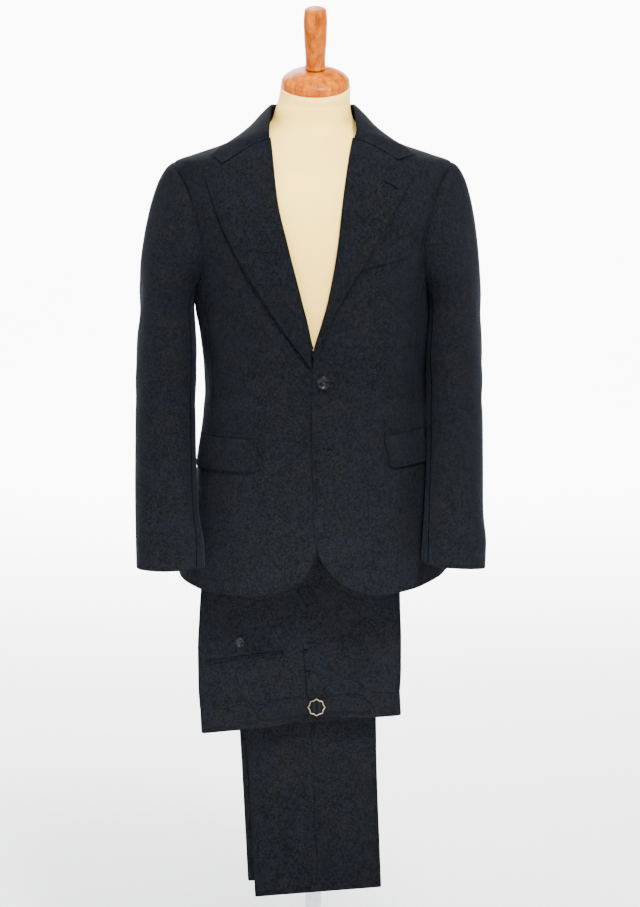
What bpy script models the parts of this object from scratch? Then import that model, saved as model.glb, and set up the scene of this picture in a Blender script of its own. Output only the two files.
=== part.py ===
"""A two-button suit on a tailor's bust form, with its trousers over the bar of the stand.

Metres, +Z up. The origin is on the floor, on the axis of the pole. The suit faces -Y, so +X is the
wearer's left. The jacket hangs on the bust, and the trousers hang over the bar inside it, upside
down in front and with both legs behind.
"""

import math

import bmesh
import bpy
import numpy as np
from mathutils import Vector

MM = 0.001
CLOTH = 2.0 * MM              # thickness of the jacket's wall
SEAM_GAP = 0.3 * MM           # space between two pieces at a seam
LAY_GAP = 1.3 * MM            # space under a piece that lies on a panel
CENTRE_Y = -30 * MM           # centre plane of the bust and the jacket, in front of the pole

# The body's envelope, which is the outer face of the jacket up to the neck seam and the neck above it.
# Columns: height, half width, depth in front, depth behind, how far the bust lies inside.
BODY = np.array([
    (0.690, 0.2120, 0.125, 0.122, 0.0140),
    (0.730, 0.2060, 0.125, 0.123, 0.0140),
    (0.800, 0.1905, 0.124, 0.122, 0.0140),
    (0.860, 0.1800, 0.123, 0.118, 0.0140),
    (0.900, 0.1775, 0.122, 0.114, 0.0140),
    (0.950, 0.1705, 0.120, 0.107, 0.0140),
    (1.000, 0.1650, 0.119, 0.101, 0.0140),
    (1.040, 0.1665, 0.120, 0.100, 0.0120),
    (1.080, 0.1710, 0.123, 0.102, 0.0110),
    (1.150, 0.1790, 0.127, 0.108, 0.0090),
    (1.210, 0.1960, 0.128, 0.112, 0.0070),
    (1.260, 0.2100, 0.124, 0.111, 0.0055),
    (1.310, 0.2165, 0.111, 0.106, 0.0040),
    (1.335, 0.2160, 0.101, 0.100, 0.0029),
    (1.349, 0.2090, 0.096, 0.096, 0.0026),
    (1.360, 0.1800, 0.091, 0.092, 0.0026),
    (1.3735, 0.1400, 0.085, 0.087, 0.0028),
    (1.386, 0.1110, 0.080, 0.083, 0.0034),
    (1.396, 0.0925, 0.074, 0.078, 0.0048),
    (1.404, 0.0760, 0.068, 0.071, 0.0050),
    (1.414, 0.0640, 0.062, 0.062, 0.0030),
    (1.428, 0.0570, 0.058, 0.056, 0.0000),
    (1.450, 0.0535, 0.054, 0.052, 0.0000),
    (1.480, 0.0520, 0.053, 0.051, 0.0000),
])
ROUNDNESS = 2.08              # superellipse exponent of the body's sections
# The bust carries the jacket along the shoulder seams, and lies further inside to both sides of them.
SHOULDER_EASE = 5.0 * MM
SHOULDER_BAND = 13.0          # degrees to each side of the seam over which that ease sets in
SHOULDER_BAND_Z = (1.300, 1.345)
# The jacket stands out behind the arm on the wearer's left. Columns: height, ease at its widest.
SIDE_EASE = np.array([
    (0.690, 16.5 * MM), (0.800, 13.0 * MM), (0.950, 13.0 * MM), (1.030, 12.0 * MM), (1.080, 6.5 * MM),
    (1.122, 0.0), (1.400, 0.0),
])
SIDE_EASE_ANGLES = (76.0, 102.0, 125.0, 158.0)  # where it starts, is full, is still full and ends

# The armhole, an egg in side view, and the seams of the side panel, as angles from centre front.
ARMHOLE_TOP = 1.3475
ARMHOLE_WIDEST = 1.236
ARMHOLE_BOTTOM = 1.150
ARMHOLE_FRONT = 0.073
ARMHOLE_BACK = 0.079
FRONT_SEAM = 66.0
BACK_SEAM = 117.0
NECK_SEAM_Z = 1.402

# Front edge of each front, from the cutaway up to the gorge. Columns: x towards its own side, height.
# The wearer's left front laps over the right one.
EDGE_LEFT = (
    (0.0390, 0.7215), (0.0215, 0.7400), (0.0100, 0.7590), (0.0045, 0.7800), (0.0010, 0.8300),
    (-0.0005, 0.8900), (-0.0010, 0.9500), (-0.0010, 1.0100), (-0.0005, 1.0450), (0.0060, 1.0790),
    (0.0160, 1.1120), (0.0255, 1.1466), (0.0390, 1.2204), (0.0475, 1.2937), (0.0540, 1.3400),
    (0.0590, 1.3700),
)
EDGE_RIGHT = (
    (0.0200, 0.7190), (0.0080, 0.7350), (-0.0010, 0.7560), (-0.0095, 0.7800), (-0.0200, 0.8300),
    (-0.0290, 0.8900), (-0.0330, 0.9500), (-0.0340, 1.0100), (-0.0200, 1.0450), (0.0010, 1.0730),
    (0.0100, 1.1120), (0.0188, 1.1466), (0.0375, 1.2204), (0.0545, 1.2937), (0.0600, 1.3400),
    (0.0625, 1.3700),
)
# Heights on the side seam and then round the armhole that pair with the rows above. The last row
# of the side seam is the corner at the armhole, worked out from both.
SIDE_HEIGHTS = (
    0.7130, 0.7330, 0.7560, 0.7800, 0.8300, 0.8900, 0.9450, 0.9950, 1.0300, 1.0600,
    1.0900, 1.1200, 1.1650, 1.2150, 1.2600, 1.2950,
)
CORNER_ROW = 12
# Where the neck seam and the armhole pair up above that. Columns: angle on the neck, its height,
# height on the armhole.
NECK_TO_ARMHOLE = (
    (40.0, 1.3850, 1.3170), (57.0, 1.3930, 1.3290), (70.0, 1.3985, 1.3385), (80.0, 1.4010, 1.3445),
    (90.0, NECK_SEAM_Z, ARMHOLE_TOP),
)

# Hem height against the angle from centre front.
HEM = ((0.0, 0.7000), (20.0, 0.6980), (45.0, 0.7000), (66.0, 0.7095), (90.0, 0.7190), (117.0, 0.7180),
       (150.0, 0.7120), (180.0, 0.7100))

# How much higher the hem hangs at each side seam. It sets in over the angles below.
HEM_RISE = {"left": 8.0 * MM, "right": 0.0}
HEM_RISE_FROM, HEM_RISE_FULL, HEM_RISE_GONE = 22.0, 60.0, 170.0

LAP_LIFT = 3.0 * MM           # how far the left front stands out where it laps the right one
LAP_ENDS = (0.040, 0.085)     # x where that lift starts to fade and where it is gone
LAP_TOP = (1.080, 1.200)      # heights where it fades above the button
LAP_BULGE = 2.6 * MM          # how much more the lower button pushes it out
LAP_BULGE_Z = (0.830, 0.880, 0.960, 1.010)  # heights where the bulge starts, is full, is full, ends
LOWER_BUTTON_AT = (0.0150, 0.9210)
LOWER_BUTTON_RADIUS = 8.0 * MM
LOWER_BUTTON_THICK = 2.2 * MM
LOWER_BUTTON_GAP = 0.45 * MM  # over the right front

# The side vents, where the back laps over the side panel. Columns: height, lap in degrees, lift.
VENT = np.array([
    (0.690, 6.0, 4.0 * MM), (0.891, 6.0, 4.0 * MM), (0.944, 0.0, 3.0 * MM), (0.994, 0.0, 0.0),
    (1.400, 0.0, 0.0),
])
VENT_LIFT_SPAN = 14.0         # degrees from the back's edge over which that lift fades

# The back, above the rows that pair with SIDE_HEIGHTS. Columns: angle at the centre seam or the neck,
# height there, height on the armhole.
BACK_TOP = (
    (180.0, 1.2250, 1.2050), (180.0, 1.2700, 1.2350), (180.0, 1.3150, 1.2620), (180.0, 1.3620, 1.2850),
    (180.0, NECK_SEAM_Z, 1.3020), (150.0, NECK_SEAM_Z, 1.3180), (125.0, NECK_SEAM_Z, 1.3320),
    (110.0, NECK_SEAM_Z, 1.3410), (99.0, NECK_SEAM_Z, 1.3455), (90.0, NECK_SEAM_Z, ARMHOLE_TOP),
)
FRONT_COLS, SIDE_COLS, BACK_COLS = 9, 6, 7
SEAM_ANGLE = 0.07             # degrees from a side seam to the edge of each piece
CENTRE_SEAM_ANGLE = 0.08      # degrees from the centre back seam
SHOULDER_ANGLE = 0.15         # degrees from the shoulder seam
HEM_CURVE = 0.35              # share of the front's hem over which the cutaway's curve runs out

# Lapels, from the break up to the gorge. Columns: height on the roll line, x and height on the edge.
LAPEL_LEFT = (
    (1.0640, 0.0010, 1.0440), (1.0930, 0.0130, 1.0800), (1.1120, 0.0255, 1.1120), (1.1466, 0.0490, 1.1540),
    (1.1850, 0.0735, 1.1945), (1.2204, 0.0960, 1.2350), (1.2560, 0.1150, 1.2680), (1.2937, 0.1310, 1.2950),
    (1.3400, 0.1445, 1.3200), (1.3830, 0.1494, 1.3315),
)
LAPEL_RIGHT = (
    (1.0745, 0.0040, 1.0460), (1.0930, 0.0235, 1.0740), (1.1120, 0.0440, 1.1010), (1.1466, 0.0660, 1.1340),
    (1.1850, 0.0870, 1.1660), (1.2204, 0.1070, 1.2030), (1.2560, 0.1240, 1.2350), (1.2937, 0.1400, 1.2720),
    (1.3400, 0.1545, 1.3120), (1.3830, 0.1586, 1.3254),
)
# Height of the lapel's face over the front. Columns: share of the width from the roll, height.
LAPEL_RISE = ((0.0, 2.4 * MM), (0.04, 5.6 * MM), (0.25, 6.8 * MM), (0.6, 5.4 * MM), (1.0, 4.8 * MM))
LAPEL_COLS = 7
ROLL_OVERHANG = 2.9 * MM      # how far the fold of the lapel stands past the front's own edge
ROLL_TURN = 4.5 * MM          # width over which it turns up there
ROLL_TOP_RISE = 5.0 * MM      # height of the fold where lapel and collar meet
LAPEL_NARROW = 20.0 * MM      # width below which the lapel lies flatter

# Collar, one half. Columns: fold x, y, height; edge as angle on the body and height.
# The front row is the end of the collar at the notch.
COLLAR = (
    (0.0640, -0.1090, 1.3885, 53.0, 1.3570),
    (0.0630, -0.0930, 1.4030, 64.0, 1.3720),
    (0.0620, -0.0660, 1.4225, 78.0, 1.3870),
    (0.0620, -0.0330, 1.4350, 91.0, 1.3945),
    (0.0570, -0.0030, 1.4370, 112.0, 1.3920),
    (0.0400, 0.0220, 1.4365, 140.0, 1.3870),
    (0.0200, 0.0330, 1.4360, 160.0, 1.3860),
)
COLLAR_BACK = (0.0000, 0.0360, 1.4360, 180.0, 1.3855)
NOTCH_SHARE = 0.75            # how far along the top edge of lapel and collar the notch lies
# Foot of the collar's stand. Columns: share from the front end to centre back, angle, height.
COLLAR_FEET = np.array([
    (0.0, 36.0, 1.3805), (0.17, 55.0, 1.3925), (0.36, 78.0, 1.4000), (0.5, 95.0, NECK_SEAM_Z),
    (1.0, 180.0, NECK_SEAM_Z),
])
# The gorge seam, where collar and lapel meet. Columns: x towards its own side, height. The last
# point is the notch.
GORGE = {"left": ((0.0610, 1.3830), (0.1255, 1.3492)), "right": ((0.0645, 1.3830), (0.1328, 1.3436))}
GORGE_GAP = 2.4 * MM
COLLAR_FOOT_RISE = 2.8 * MM
COLLAR_EDGE_LIFT = 1.6 * MM
COLLAR_BULGE = 1.2 * MM
COLLAR_END_RISE = (7.5 * MM, 5.6 * MM)   # of its front end over the front, at the fold and the notch
COLLAR_SIDE_STEPS = 13
COLLAR_STAND_STEPS, COLLAR_LEAF_STEPS = 2, 4

# Sleeve, one side. Columns: height, centre x, centre y, half width, half depth, turn in degrees.
SLEEVE = np.array([
    (1.128, 0.2245, -0.036, 0.0415, 0.0640, 10.0),
    (1.060, 0.2235, -0.040, 0.0440, 0.0610, 12.0),
    (0.990, 0.2250, -0.050, 0.0450, 0.0580, 14.0),
    (0.920, 0.2245, -0.067, 0.0455, 0.0540, 14.0),
    (0.850, 0.2225, -0.091, 0.0465, 0.0500, 12.0),
    (0.790, 0.2195, -0.116, 0.0470, 0.0460, 8.0),
    (0.742, 0.2165, -0.138, 0.0475, 0.0430, 5.0),
])
# What differs from side to side. Columns: shift along x, width scale, rise of the cuff's inner side.
SLEEVE_SIDES = {"left": (-0.0080, 0.925, 0.010), "right": (0.0, 1.0, 0.000)}
CAP_ROWS, ARM_ROWS = 6, 10
# Where the two sleeve seams lie, as turns from the outermost line towards the front.
TOP_SLEEVE = (-0.24, 0.39)
UNDER_SLEEVE = (0.39, 0.76)
TOP_SLEEVE_COLS, UNDER_SLEEVE_COLS = 12, 9
SLEEVE_SEAM_TURN = 0.0014     # turns between the two pieces of a sleeve
SLEEVE_INSET = 2.3 * MM       # how far inside the armhole's edge the sleeve head starts
SLEEVE_LIFT = 0.6 * MM        # and how far outside the body's panels
HEAD_REACH, HEAD_DROP = 0.44, 1.1  # pull of the sleeve head outwards and of the arm downwards
HEAD_LEAN = 0.8               # how far the head's top leans in over the shoulder
SLEEVE_SKEW = 0.5             # how much of a section's turn shears it instead

# Flaps of the hip pockets. Columns: front top x, front top z, front bottom x, front bottom z, rear
# angle, rear top z, rear bottom z.
FLAPS = {
    "left": (0.1070, 0.9400, 0.1150, 0.8905, 73.5, 0.9450, 0.8955),
    "right": (0.0820, 0.9356, 0.0850, 0.8845, 79.0, 0.9345, 0.8865),
}
FLAP_ROWS, FLAP_COLS = 3, 8
FLAP_CORNER = 9.0 * MM
FLAP_CORNER_SHARES = (1.0, 0.28, 0.0)  # of that rise, at the end column and the two beside it
FLAP_SKEW = 0.5               # degrees that the rear end leans back
FLAP_THICK = 1.6 * MM
JET_HEIGHT = 5.0 * MM

BREAST_WELT = ((0.0700, 1.1900), (0.1430, 1.2070), (0.1535, 1.2430), (0.0790, 1.2170))
BREAST_COLS = 4
BREAST_GAP = 0.8 * MM
WELT_THICK = 1.3 * MM

BUTTON_AT = (0.0157, 1.0226)
BUTTON_RADIUS = 10.0 * MM
BUTTON_THICK = 3.6 * MM
BUTTON_GAP = 0.3 * MM

# The stand.
POLE_RADIUS = 12.5 * MM
BASE_RADIUS = 0.180
BASE_THICK = 8.0 * MM
BASE_EDGE = 5.0 * MM          # bevel round the base's upper edge
BUST_BOTTOM = 0.975
BUST_ROWS, BUST_RING = 19, 28
BUST_SPACING = ((0.0, BUST_BOTTOM), (0.45, 1.290), (0.72, 1.380), (1.0, 1.462))  # share of rows, height
BUST_TILT_FROM = 1.420
NECK_TILT = math.radians(21.0)
NECK_TOP = (0.004, -0.036, 1.462)
CAP_RADIUS = 51.5 * MM
CAP_HEIGHT = 27.0 * MM
CAP_RIM = 8.0 * MM
CAP_EDGE = 1.5 * MM           # bevel round the cap's underside
CAP_STEPS = 5
HANDLE_LENGTH = 95.0 * MM
# Handle, from its top. Columns: radius, share of the length from the foot.
HANDLE = (
    (0.0000, 1.000), (0.0130, 1.000), (0.0165, 0.958), (0.0180, 0.800), (0.0170, 0.450), (0.0150, 0.147),
    (0.0155, 0.063), (0.0145, 0.000), (0.0000, 0.000),
)
# Half section of a button. Columns: share of its radius, share of its thickness.
BUTTON_SECTION = (
    (0.00, 0.72), (0.62, 0.72), (0.74, 1.00), (0.90, 1.00), (1.00, 0.62), (1.00, 0.30), (0.80, 0.00),
    (0.00, 0.00),
)
CLAMP_RADIUS, CLAMP_HALF = 22.0 * MM, 15.0 * MM
BAR_Y, BAR_Z = -0.045, 0.860
BAR_RADIUS = 6.0 * MM
BAR_REACH = 0.158
BAR_CORNER = 0.012

# The legs. Columns: drop from the bar (negative behind it), left x, right x.
LEG_EDGES = np.array([
    (-0.660, -0.0905, 0.1072), (-0.530, -0.0965, 0.1030), (-0.400, -0.1035, 0.0985), (-0.200, -0.1180, 0.0970),
    (0.000, -0.1330, 0.1020), (0.040, -0.1370, 0.1050), (0.100, -0.1560, 0.1220), (0.160, -0.1680, 0.1330),
])
LEG_WALL = 1.2 * MM
LEG_LAYER_GAP = 0.6 * MM      # between the leg on the bar and the one over it
LEG_SHIFT = {"under": 0.0, "over": -0.0105}   # along x, behind the bar
LEG_SHIFT_DROP = 0.12         # drop from the bar over which it sets in
LEG_HEM = {"under": 0.2105, "over": 0.2230}
LEG_SLANT = {"under": 0.08, "over": 0.02}     # rise of the hem towards +X, past the middle
LEG_SLANT_FROM = 0.5          # share of the hanging length below which it sets in
LEG_HALF = 3.0 * MM           # half the thickness of a leg pressed flat
BACK_DROPS = (0.0, 0.14, 0.32, 0.62, 1.0)  # shares of the hanging length, from the bar
ARC_STEPS = 5
FRONT_DROPS = (0.035, 0.075)

# The seat, upside down in front. Columns: height at the side seam, left x, side seam x, right x, share
# of the inner leg's width that is left beyond the fold as the crotch seam runs out.
SEAT_Y = -0.0600
SEAT_HALF = 8.0 * MM
SEAT = np.array([
    (0.5240, -0.1748, -0.0085, 0.1345, 0.02), (0.5600, -0.1770, -0.0115, 0.1360, 0.02),
    (0.6100, -0.1775, -0.0155, 0.1360, 0.02), (0.6600, -0.1750, -0.0195, 0.1345, 0.06),
    (0.7050, -0.1715, -0.0225, 0.1335, 0.35), (0.7450, -0.1670, -0.0250, 0.1320, 1.00),
])
SEAT_SLOPE = 0.093            # rise of the waist seam towards +X
FACE_STEPS, FOLD_STEPS, RETURN_STEPS = 2, 3, 2
BAR_GAP = 0.8 * MM            # between the bar and the leg on it
BAND_HEIGHT = 38.0 * MM
BAND_WALL = 2.0 * MM
BAND_LEAN = 2.0 * MM
BAND_PULL = 8.0 * MM          # how far the strap draws the near band's edge up at the buckle
BAND_PULL_SPREAD = 0.055
BAND_FACE_STEPS, BAND_ROWS = 10, 4
BAND_TURNS = np.radians((2.0, 32.0, 62.0))  # of the columns round each fold of the band
BUCKLE_AT = (0.0055, 0.5125)
BUCKLE_RADIUS = 13.5 * MM
BUCKLE_LOBES = 8
BUCKLE_THICK = 2.0 * MM
# Shares of the buckle's radius: depth of a scallop, hole, middle and half width of a bar.
BUCKLE_SCALLOP, BUCKLE_HOLE, BUCKLE_BAR, BUCKLE_HALF_BAR = 0.09, 0.70, 0.30, 0.075
BUCKLE_NEAREST = 0.2 * MM     # points of its outlines lie no closer than this
# The two straps. Columns: x at the buckle, x at the tip, height of the middle at each, half width.
STRAPS = {"left": (0.0030, -0.0870, 0.5125, 0.5000, 0.0145), "right": (0.0080, 0.0900, 0.5125, 0.5140, 0.0140)}
STRAP_THICK = 1.5 * MM
STRAP_LIFT = 0.6 * MM         # height of the underside over the band
STRAP_NECK = 0.70             # share of the width that is left at the buckle
STRAP_ARCH = 5.0 * MM         # how far a strap rises between its tip and the buckle
STRAP_STEPS = 7
STRAP_NECK_END = 0.35         # share of the length where the strap is at its full width
STRAP_POINT_FROM = 0.86       # share of the length where its point starts
STRAP_POINT_WIDTH = 0.38      # share of the width that is left at the tip
STRAP_SHOULDER = 0.965        # where the point's corners lie, against its middle
# The jetted pocket, on the half of the seat left of the side seam: x and height of both ends.
POCKET = ((-0.1665, 0.5850), (-0.0480, 0.6006))
POCKET_JET = 5.5 * MM
POCKET_GAP, POCKET_THICK = 0.6 * MM, 1.4 * MM
POCKET_END = 4.0 * MM
POCKET_BUTTON_AT = (-0.1120, 0.6140)
POCKET_BUTTON_RADIUS = 7.5 * MM
POCKET_BUTTON_THICK = 2.8 * MM


def smooth(table, key):
    """Values at key on a curve through the table's rows that never overshoots them."""
    keys, values = table[:, 0], table[:, 1:]
    spans = np.diff(keys)[:, None]
    slopes = np.diff(values, axis=0) / spans
    before, after = slopes[:-1], slopes[1:]
    same = before * after > 0
    total = np.where(same, before + after, 1.0)
    inner = np.where(same, 2.0 * before * after / total, 0.0)
    tangents = np.vstack([slopes[:1], inner, slopes[-1:]])
    row = int(np.clip(np.searchsorted(keys, key) - 1, 0, len(keys) - 2))
    span = keys[row + 1] - keys[row]
    t = float(np.clip((key - keys[row]) / span, 0.0, 1.0))
    return (values[row] * (1 + 2 * t) * (1 - t) ** 2 + tangents[row] * span * t * (1 - t) ** 2
            + values[row + 1] * t * t * (3 - 2 * t) + tangents[row + 1] * span * t * t * (t - 1))


def ramp(start, end, value):
    """0 at start and 1 at end, easing at both; start may be the larger."""
    t = min(max((value - start) / (end - start), 0.0), 1.0)
    return t * t * (3 - 2 * t)


def between(a, b, share):
    return tuple(p + (q - p) * share for p, q in zip(a, b))


def unit(vector):
    return vector / np.linalg.norm(vector)


def skin(angle, z):
    """Point of the body's envelope at an angle from centre front towards +X."""
    half, front, back, _ = smooth(BODY, z)
    power = 2.0 / ROUNDNESS
    sine, cosine = math.sin(math.radians(angle)), math.cos(math.radians(angle))
    depth = front if cosine > 0 else back
    return np.array((half * math.copysign(abs(sine) ** power, sine),
                     CENTRE_Y - depth * math.copysign(abs(cosine) ** power, cosine), z))


def skin_normal(angle, z):
    along = skin(angle + 0.25, z) - skin(angle - 0.25, z)
    up = skin(angle, z + 0.0006) - skin(angle, z - 0.0006)
    return unit(np.cross(along, up))


def on_body(angle, z, lift=0.0):
    return skin(angle, z) + skin_normal(angle, z) * lift


def angle_at(x, z):
    """Angle from centre front where the front of the envelope has this x."""
    share = min(abs(x) / smooth(BODY, z)[0], 1.0)
    return math.copysign(math.degrees(math.asin(share ** (ROUNDNESS / 2))), x)


def angle_at_depth(offset, z):
    """Angle where the envelope lies this far behind its centre plane, or in front if negative."""
    half, front, back, _ = smooth(BODY, z)
    depth = front if offset < 0 else back
    share = min(abs(offset) / depth, 1.0) ** (ROUNDNESS / 2)
    return math.degrees(math.acos(math.copysign(share, -offset)))


def armhole(turn, inset=0.0):
    """Angle and height on the armhole, at a turn from its top towards the front."""
    cosine, sine = math.cos(2 * math.pi * turn), math.sin(2 * math.pi * turn)
    height = (ARMHOLE_TOP - ARMHOLE_WIDEST if cosine > 0 else ARMHOLE_WIDEST - ARMHOLE_BOTTOM) - inset
    reach = (ARMHOLE_FRONT if sine > 0 else ARMHOLE_BACK) - inset
    z = ARMHOLE_WIDEST + height * cosine
    return angle_at_depth(-reach * sine, z), z


def armhole_at(z, front):
    """Angle of the armhole's front or rear edge at a height."""
    span = ARMHOLE_TOP - ARMHOLE_WIDEST if z > ARMHOLE_WIDEST else ARMHOLE_WIDEST - ARMHOLE_BOTTOM
    turn = math.acos(max(-1.0, min(1.0, (z - ARMHOLE_WIDEST) / span))) / (2 * math.pi)
    return armhole(turn if front else -turn)[0]


def armhole_below(angle):
    """Height of the armhole's lower edge at an angle."""
    low, high = 0.25, 0.75
    for _ in range(40):
        middle = (low + high) / 2
        if armhole(middle)[0] < angle:
            low = middle
        else:
            high = middle
    return armhole(middle)[1]


def hem_height(side, angle):
    rise = ramp(HEM_RISE_FROM, HEM_RISE_FULL, angle) * ramp(HEM_RISE_GONE, BACK_SEAM, angle)
    return float(smooth(np.array(HEM), angle)[0]) + HEM_RISE[side] * rise


def wall(name, outer, inner, material, collection):
    """Closed wall between two grids of points, given as arrays of rows, columns and coordinates."""
    rows, cols = len(outer), len(outer[0])
    mesh = bmesh.new()
    faces = [[[mesh.verts.new(point) for point in row] for row in sheet] for sheet in (outer, inner)]
    for sheet in faces:
        for i in range(rows - 1):
            for j in range(cols - 1):
                mesh.faces.new((sheet[i][j], sheet[i][j + 1], sheet[i + 1][j + 1], sheet[i + 1][j]))
    rim = [(0, j) for j in range(cols)] + [(i, cols - 1) for i in range(1, rows)]
    rim += [(rows - 1, j) for j in range(cols - 2, -1, -1)] + [(i, 0) for i in range(rows - 2, 0, -1)]
    for (i, j), (k, m) in zip(rim, rim[1:] + rim[:1]):
        mesh.faces.new((faces[0][i][j], faces[0][k][m], faces[1][k][m], faces[1][i][j]))
    return finished(name, mesh, material, collection)


def lofted(name, rings, material, collection):
    """Closed solid through rings of points, with flat ends."""
    mesh = bmesh.new()
    loops = [[mesh.verts.new(point) for point in ring] for ring in rings]
    for low, high in zip(loops, loops[1:]):
        for j in range(len(low)):
            k = (j + 1) % len(low)
            mesh.faces.new((low[j], low[k], high[k], high[j]))
    mesh.faces.new(loops[0])
    mesh.faces.new(loops[-1])
    return finished(name, mesh, material, collection)


def finished(name, mesh, material, collection):
    """Object made from a bmesh, with its faces pointing out."""
    bmesh.ops.recalc_face_normals(mesh, faces=mesh.faces[:])
    data = bpy.data.meshes.new(name)
    mesh.to_mesh(data)
    mesh.free()
    data.shade_smooth()
    data.set_sharp_from_angle(angle=math.radians(40))
    piece = bpy.data.objects.new(name, data)
    data.materials.append(material)
    collection.objects.link(piece)
    return piece


def turned(name, profile, steps, material, collection, place=(0, 0, 0), tilt=(0, 0, 0)):
    """Solid turned about its own Z axis from a profile that runs down its outer side."""
    data = bpy.data.meshes.new(name)
    points = [(radius, 0.0, height) for radius, height in profile]
    data.from_pydata(points, [(i, i + 1) for i in range(len(points) - 1)], [])
    data.materials.append(material)
    piece = bpy.data.objects.new(name, data)
    collection.objects.link(piece)
    screw = piece.modifiers.new("Turn", "SCREW")
    screw.steps = screw.render_steps = steps
    screw.use_merge_vertices = True
    screw.merge_threshold = 0.00005
    screw.use_smooth_shade = True
    piece.location = place
    piece.rotation_euler = tilt
    return piece


def wire(name, points, radius, material, collection):
    """Round wire along straight runs between points."""
    curve = bpy.data.curves.new(name, "CURVE")
    curve.dimensions = "3D"
    curve.bevel_depth = radius
    curve.bevel_resolution = 3
    curve.use_fill_caps = True
    spline = curve.splines.new("POLY")
    spline.points.add(len(points) - 1)
    for point, place in zip(spline.points, points):
        point.co = (*place, 1.0)
    curve.materials.append(material)
    piece = bpy.data.objects.new(name, curve)
    collection.objects.link(piece)
    return piece


def mirrored(points, side):
    """Grid for the wearer's left as it is, or turned over for the wearer's right."""
    grid = np.array(points, dtype=float)
    if side == "right":
        grid[..., 0] *= -1
    return grid


def lap_lift(side, x, z):
    """How far a front stands out from the envelope where the left one laps the right."""
    if side == "right":
        return 0.0
    start, full, still, end = LAP_BULGE_Z
    bulge = LAP_BULGE * ramp(start, full, z) * ramp(end, still, z)
    return (LAP_LIFT + bulge) * ramp(LAP_ENDS[1], LAP_ENDS[0], x) * ramp(LAP_TOP[1], LAP_TOP[0], z)


def side_ease(side, angle, z):
    """How far the jacket stands out from the envelope behind the arm."""
    if side == "right":
        return 0.0
    start, full, still, end = SIDE_EASE_ANGLES
    return smooth(SIDE_EASE, z)[0] * ramp(start, full, angle) * ramp(end, still, angle)


def on_front(side, x, z, lift):
    """Point over a front, by x towards its own side and height."""
    return on_body(angle_at(x, z), z, lift + lap_lift(side, x, z))


def panel(name, side, rows, cols, lift, look, collection):
    """Cloth wall through rows given by their two ends, as angle and height on the envelope.

    A row may be a function of the share along it instead. lift gives the height of the outer face.
    """
    outer, inner = [], []
    for row in rows:
        line = row if callable(row) else (lambda share, ends=row: between(*ends, share))
        places = [line(j / (cols - 1)) for j in range(cols)]
        outer.append([on_body(angle, z, lift(angle, z)) for angle, z in places])
        inner.append([on_body(angle, z, lift(angle, z) - CLOTH) for angle, z in places])
    return wall(name, mirrored(outer, side), mirrored(inner, side), look, collection)


def seam_heights(side, angle):
    """Heights of the rows on a side seam, from the hem to the armhole."""
    low, high = hem_height(side, angle), armhole_below(angle)
    table = SIDE_HEIGHTS[:CORNER_ROW + 1]
    return [low + (z - table[0]) * (high - low) / (table[-1] - table[0]) for z in table]


def front(side, look, collection):
    edge = [(angle_at(x, z), z) for x, z in (EDGE_LEFT if side == "left" else EDGE_RIGHT)]
    edge += [(angle, z) for angle, z, _ in NECK_TO_ARMHOLE]
    seam = FRONT_SEAM - SEAM_ANGLE
    side_edge = [(seam, z) for z in seam_heights(side, FRONT_SEAM)]
    side_edge += [(armhole_at(z, True), z) for z in SIDE_HEIGHTS[CORNER_ROW + 1:]]
    side_edge += [(armhole_at(z, True) - SHOULDER_ANGLE * (z == ARMHOLE_TOP), z) for _, _, z in NECK_TO_ARMHOLE]
    edge[-1] = (edge[-1][0] - SHOULDER_ANGLE, edge[-1][1])
    rows = list(zip(edge, side_edge))
    start, end = rows[0]
    drop = start[1] - hem_height(side, start[0])

    def hem_row(share):
        angle = start[0] + (end[0] - start[0]) * share
        return angle, hem_height(side, angle) + drop * max(0.0, 1 - share / HEM_CURVE) ** 2

    rows[0] = hem_row
    return panel("front_" + side, side, rows, FRONT_COLS,
                 lambda angle, z: lap_lift(side, skin(angle, z)[0], z), look, collection)


def side_panel(side, look, collection):
    low, high = FRONT_SEAM + SEAM_ANGLE, BACK_SEAM - SEAM_ANGLE
    seams = zip(seam_heights(side, FRONT_SEAM), seam_heights(side, BACK_SEAM))
    rows = [((low, a), (high, b)) for a, b in seams]

    def along(edge):
        def row(share):
            angle = low + (high - low) * share
            return angle, edge(angle)
        return row

    rows[0], rows[-1] = along(lambda angle: hem_height(side, angle)), along(armhole_below)
    return panel("side_panel_" + side, side, rows, SIDE_COLS, lambda angle, z: side_ease(side, angle, z),
                 look, collection)


def back(side, look, collection):
    def edge_angle(z):
        return BACK_SEAM + SEAM_ANGLE - smooth(VENT, z)[0]

    heights = seam_heights(side, BACK_SEAM)
    centre = 180.0 - CENTRE_SEAM_ANGLE
    rows = [((centre, z + (hem_height(side, 180.0) - heights[0]) * (1 - i / CORNER_ROW)), (edge_angle(z), z))
            for i, z in enumerate(heights)]
    for angle, z, arm_z in BACK_TOP:
        last = SHOULDER_ANGLE * (angle == 90.0)
        rows.append(((min(angle, centre) + last, z), (armhole_at(arm_z, False) + last, arm_z)))

    def lift(angle, z):
        vent = smooth(VENT, z)[1] * ramp(BACK_SEAM + VENT_LIFT_SPAN, BACK_SEAM, angle)
        return vent + side_ease(side, angle, z)

    return panel("back_" + side, side, rows, BACK_COLS, lift, look, collection)


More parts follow.
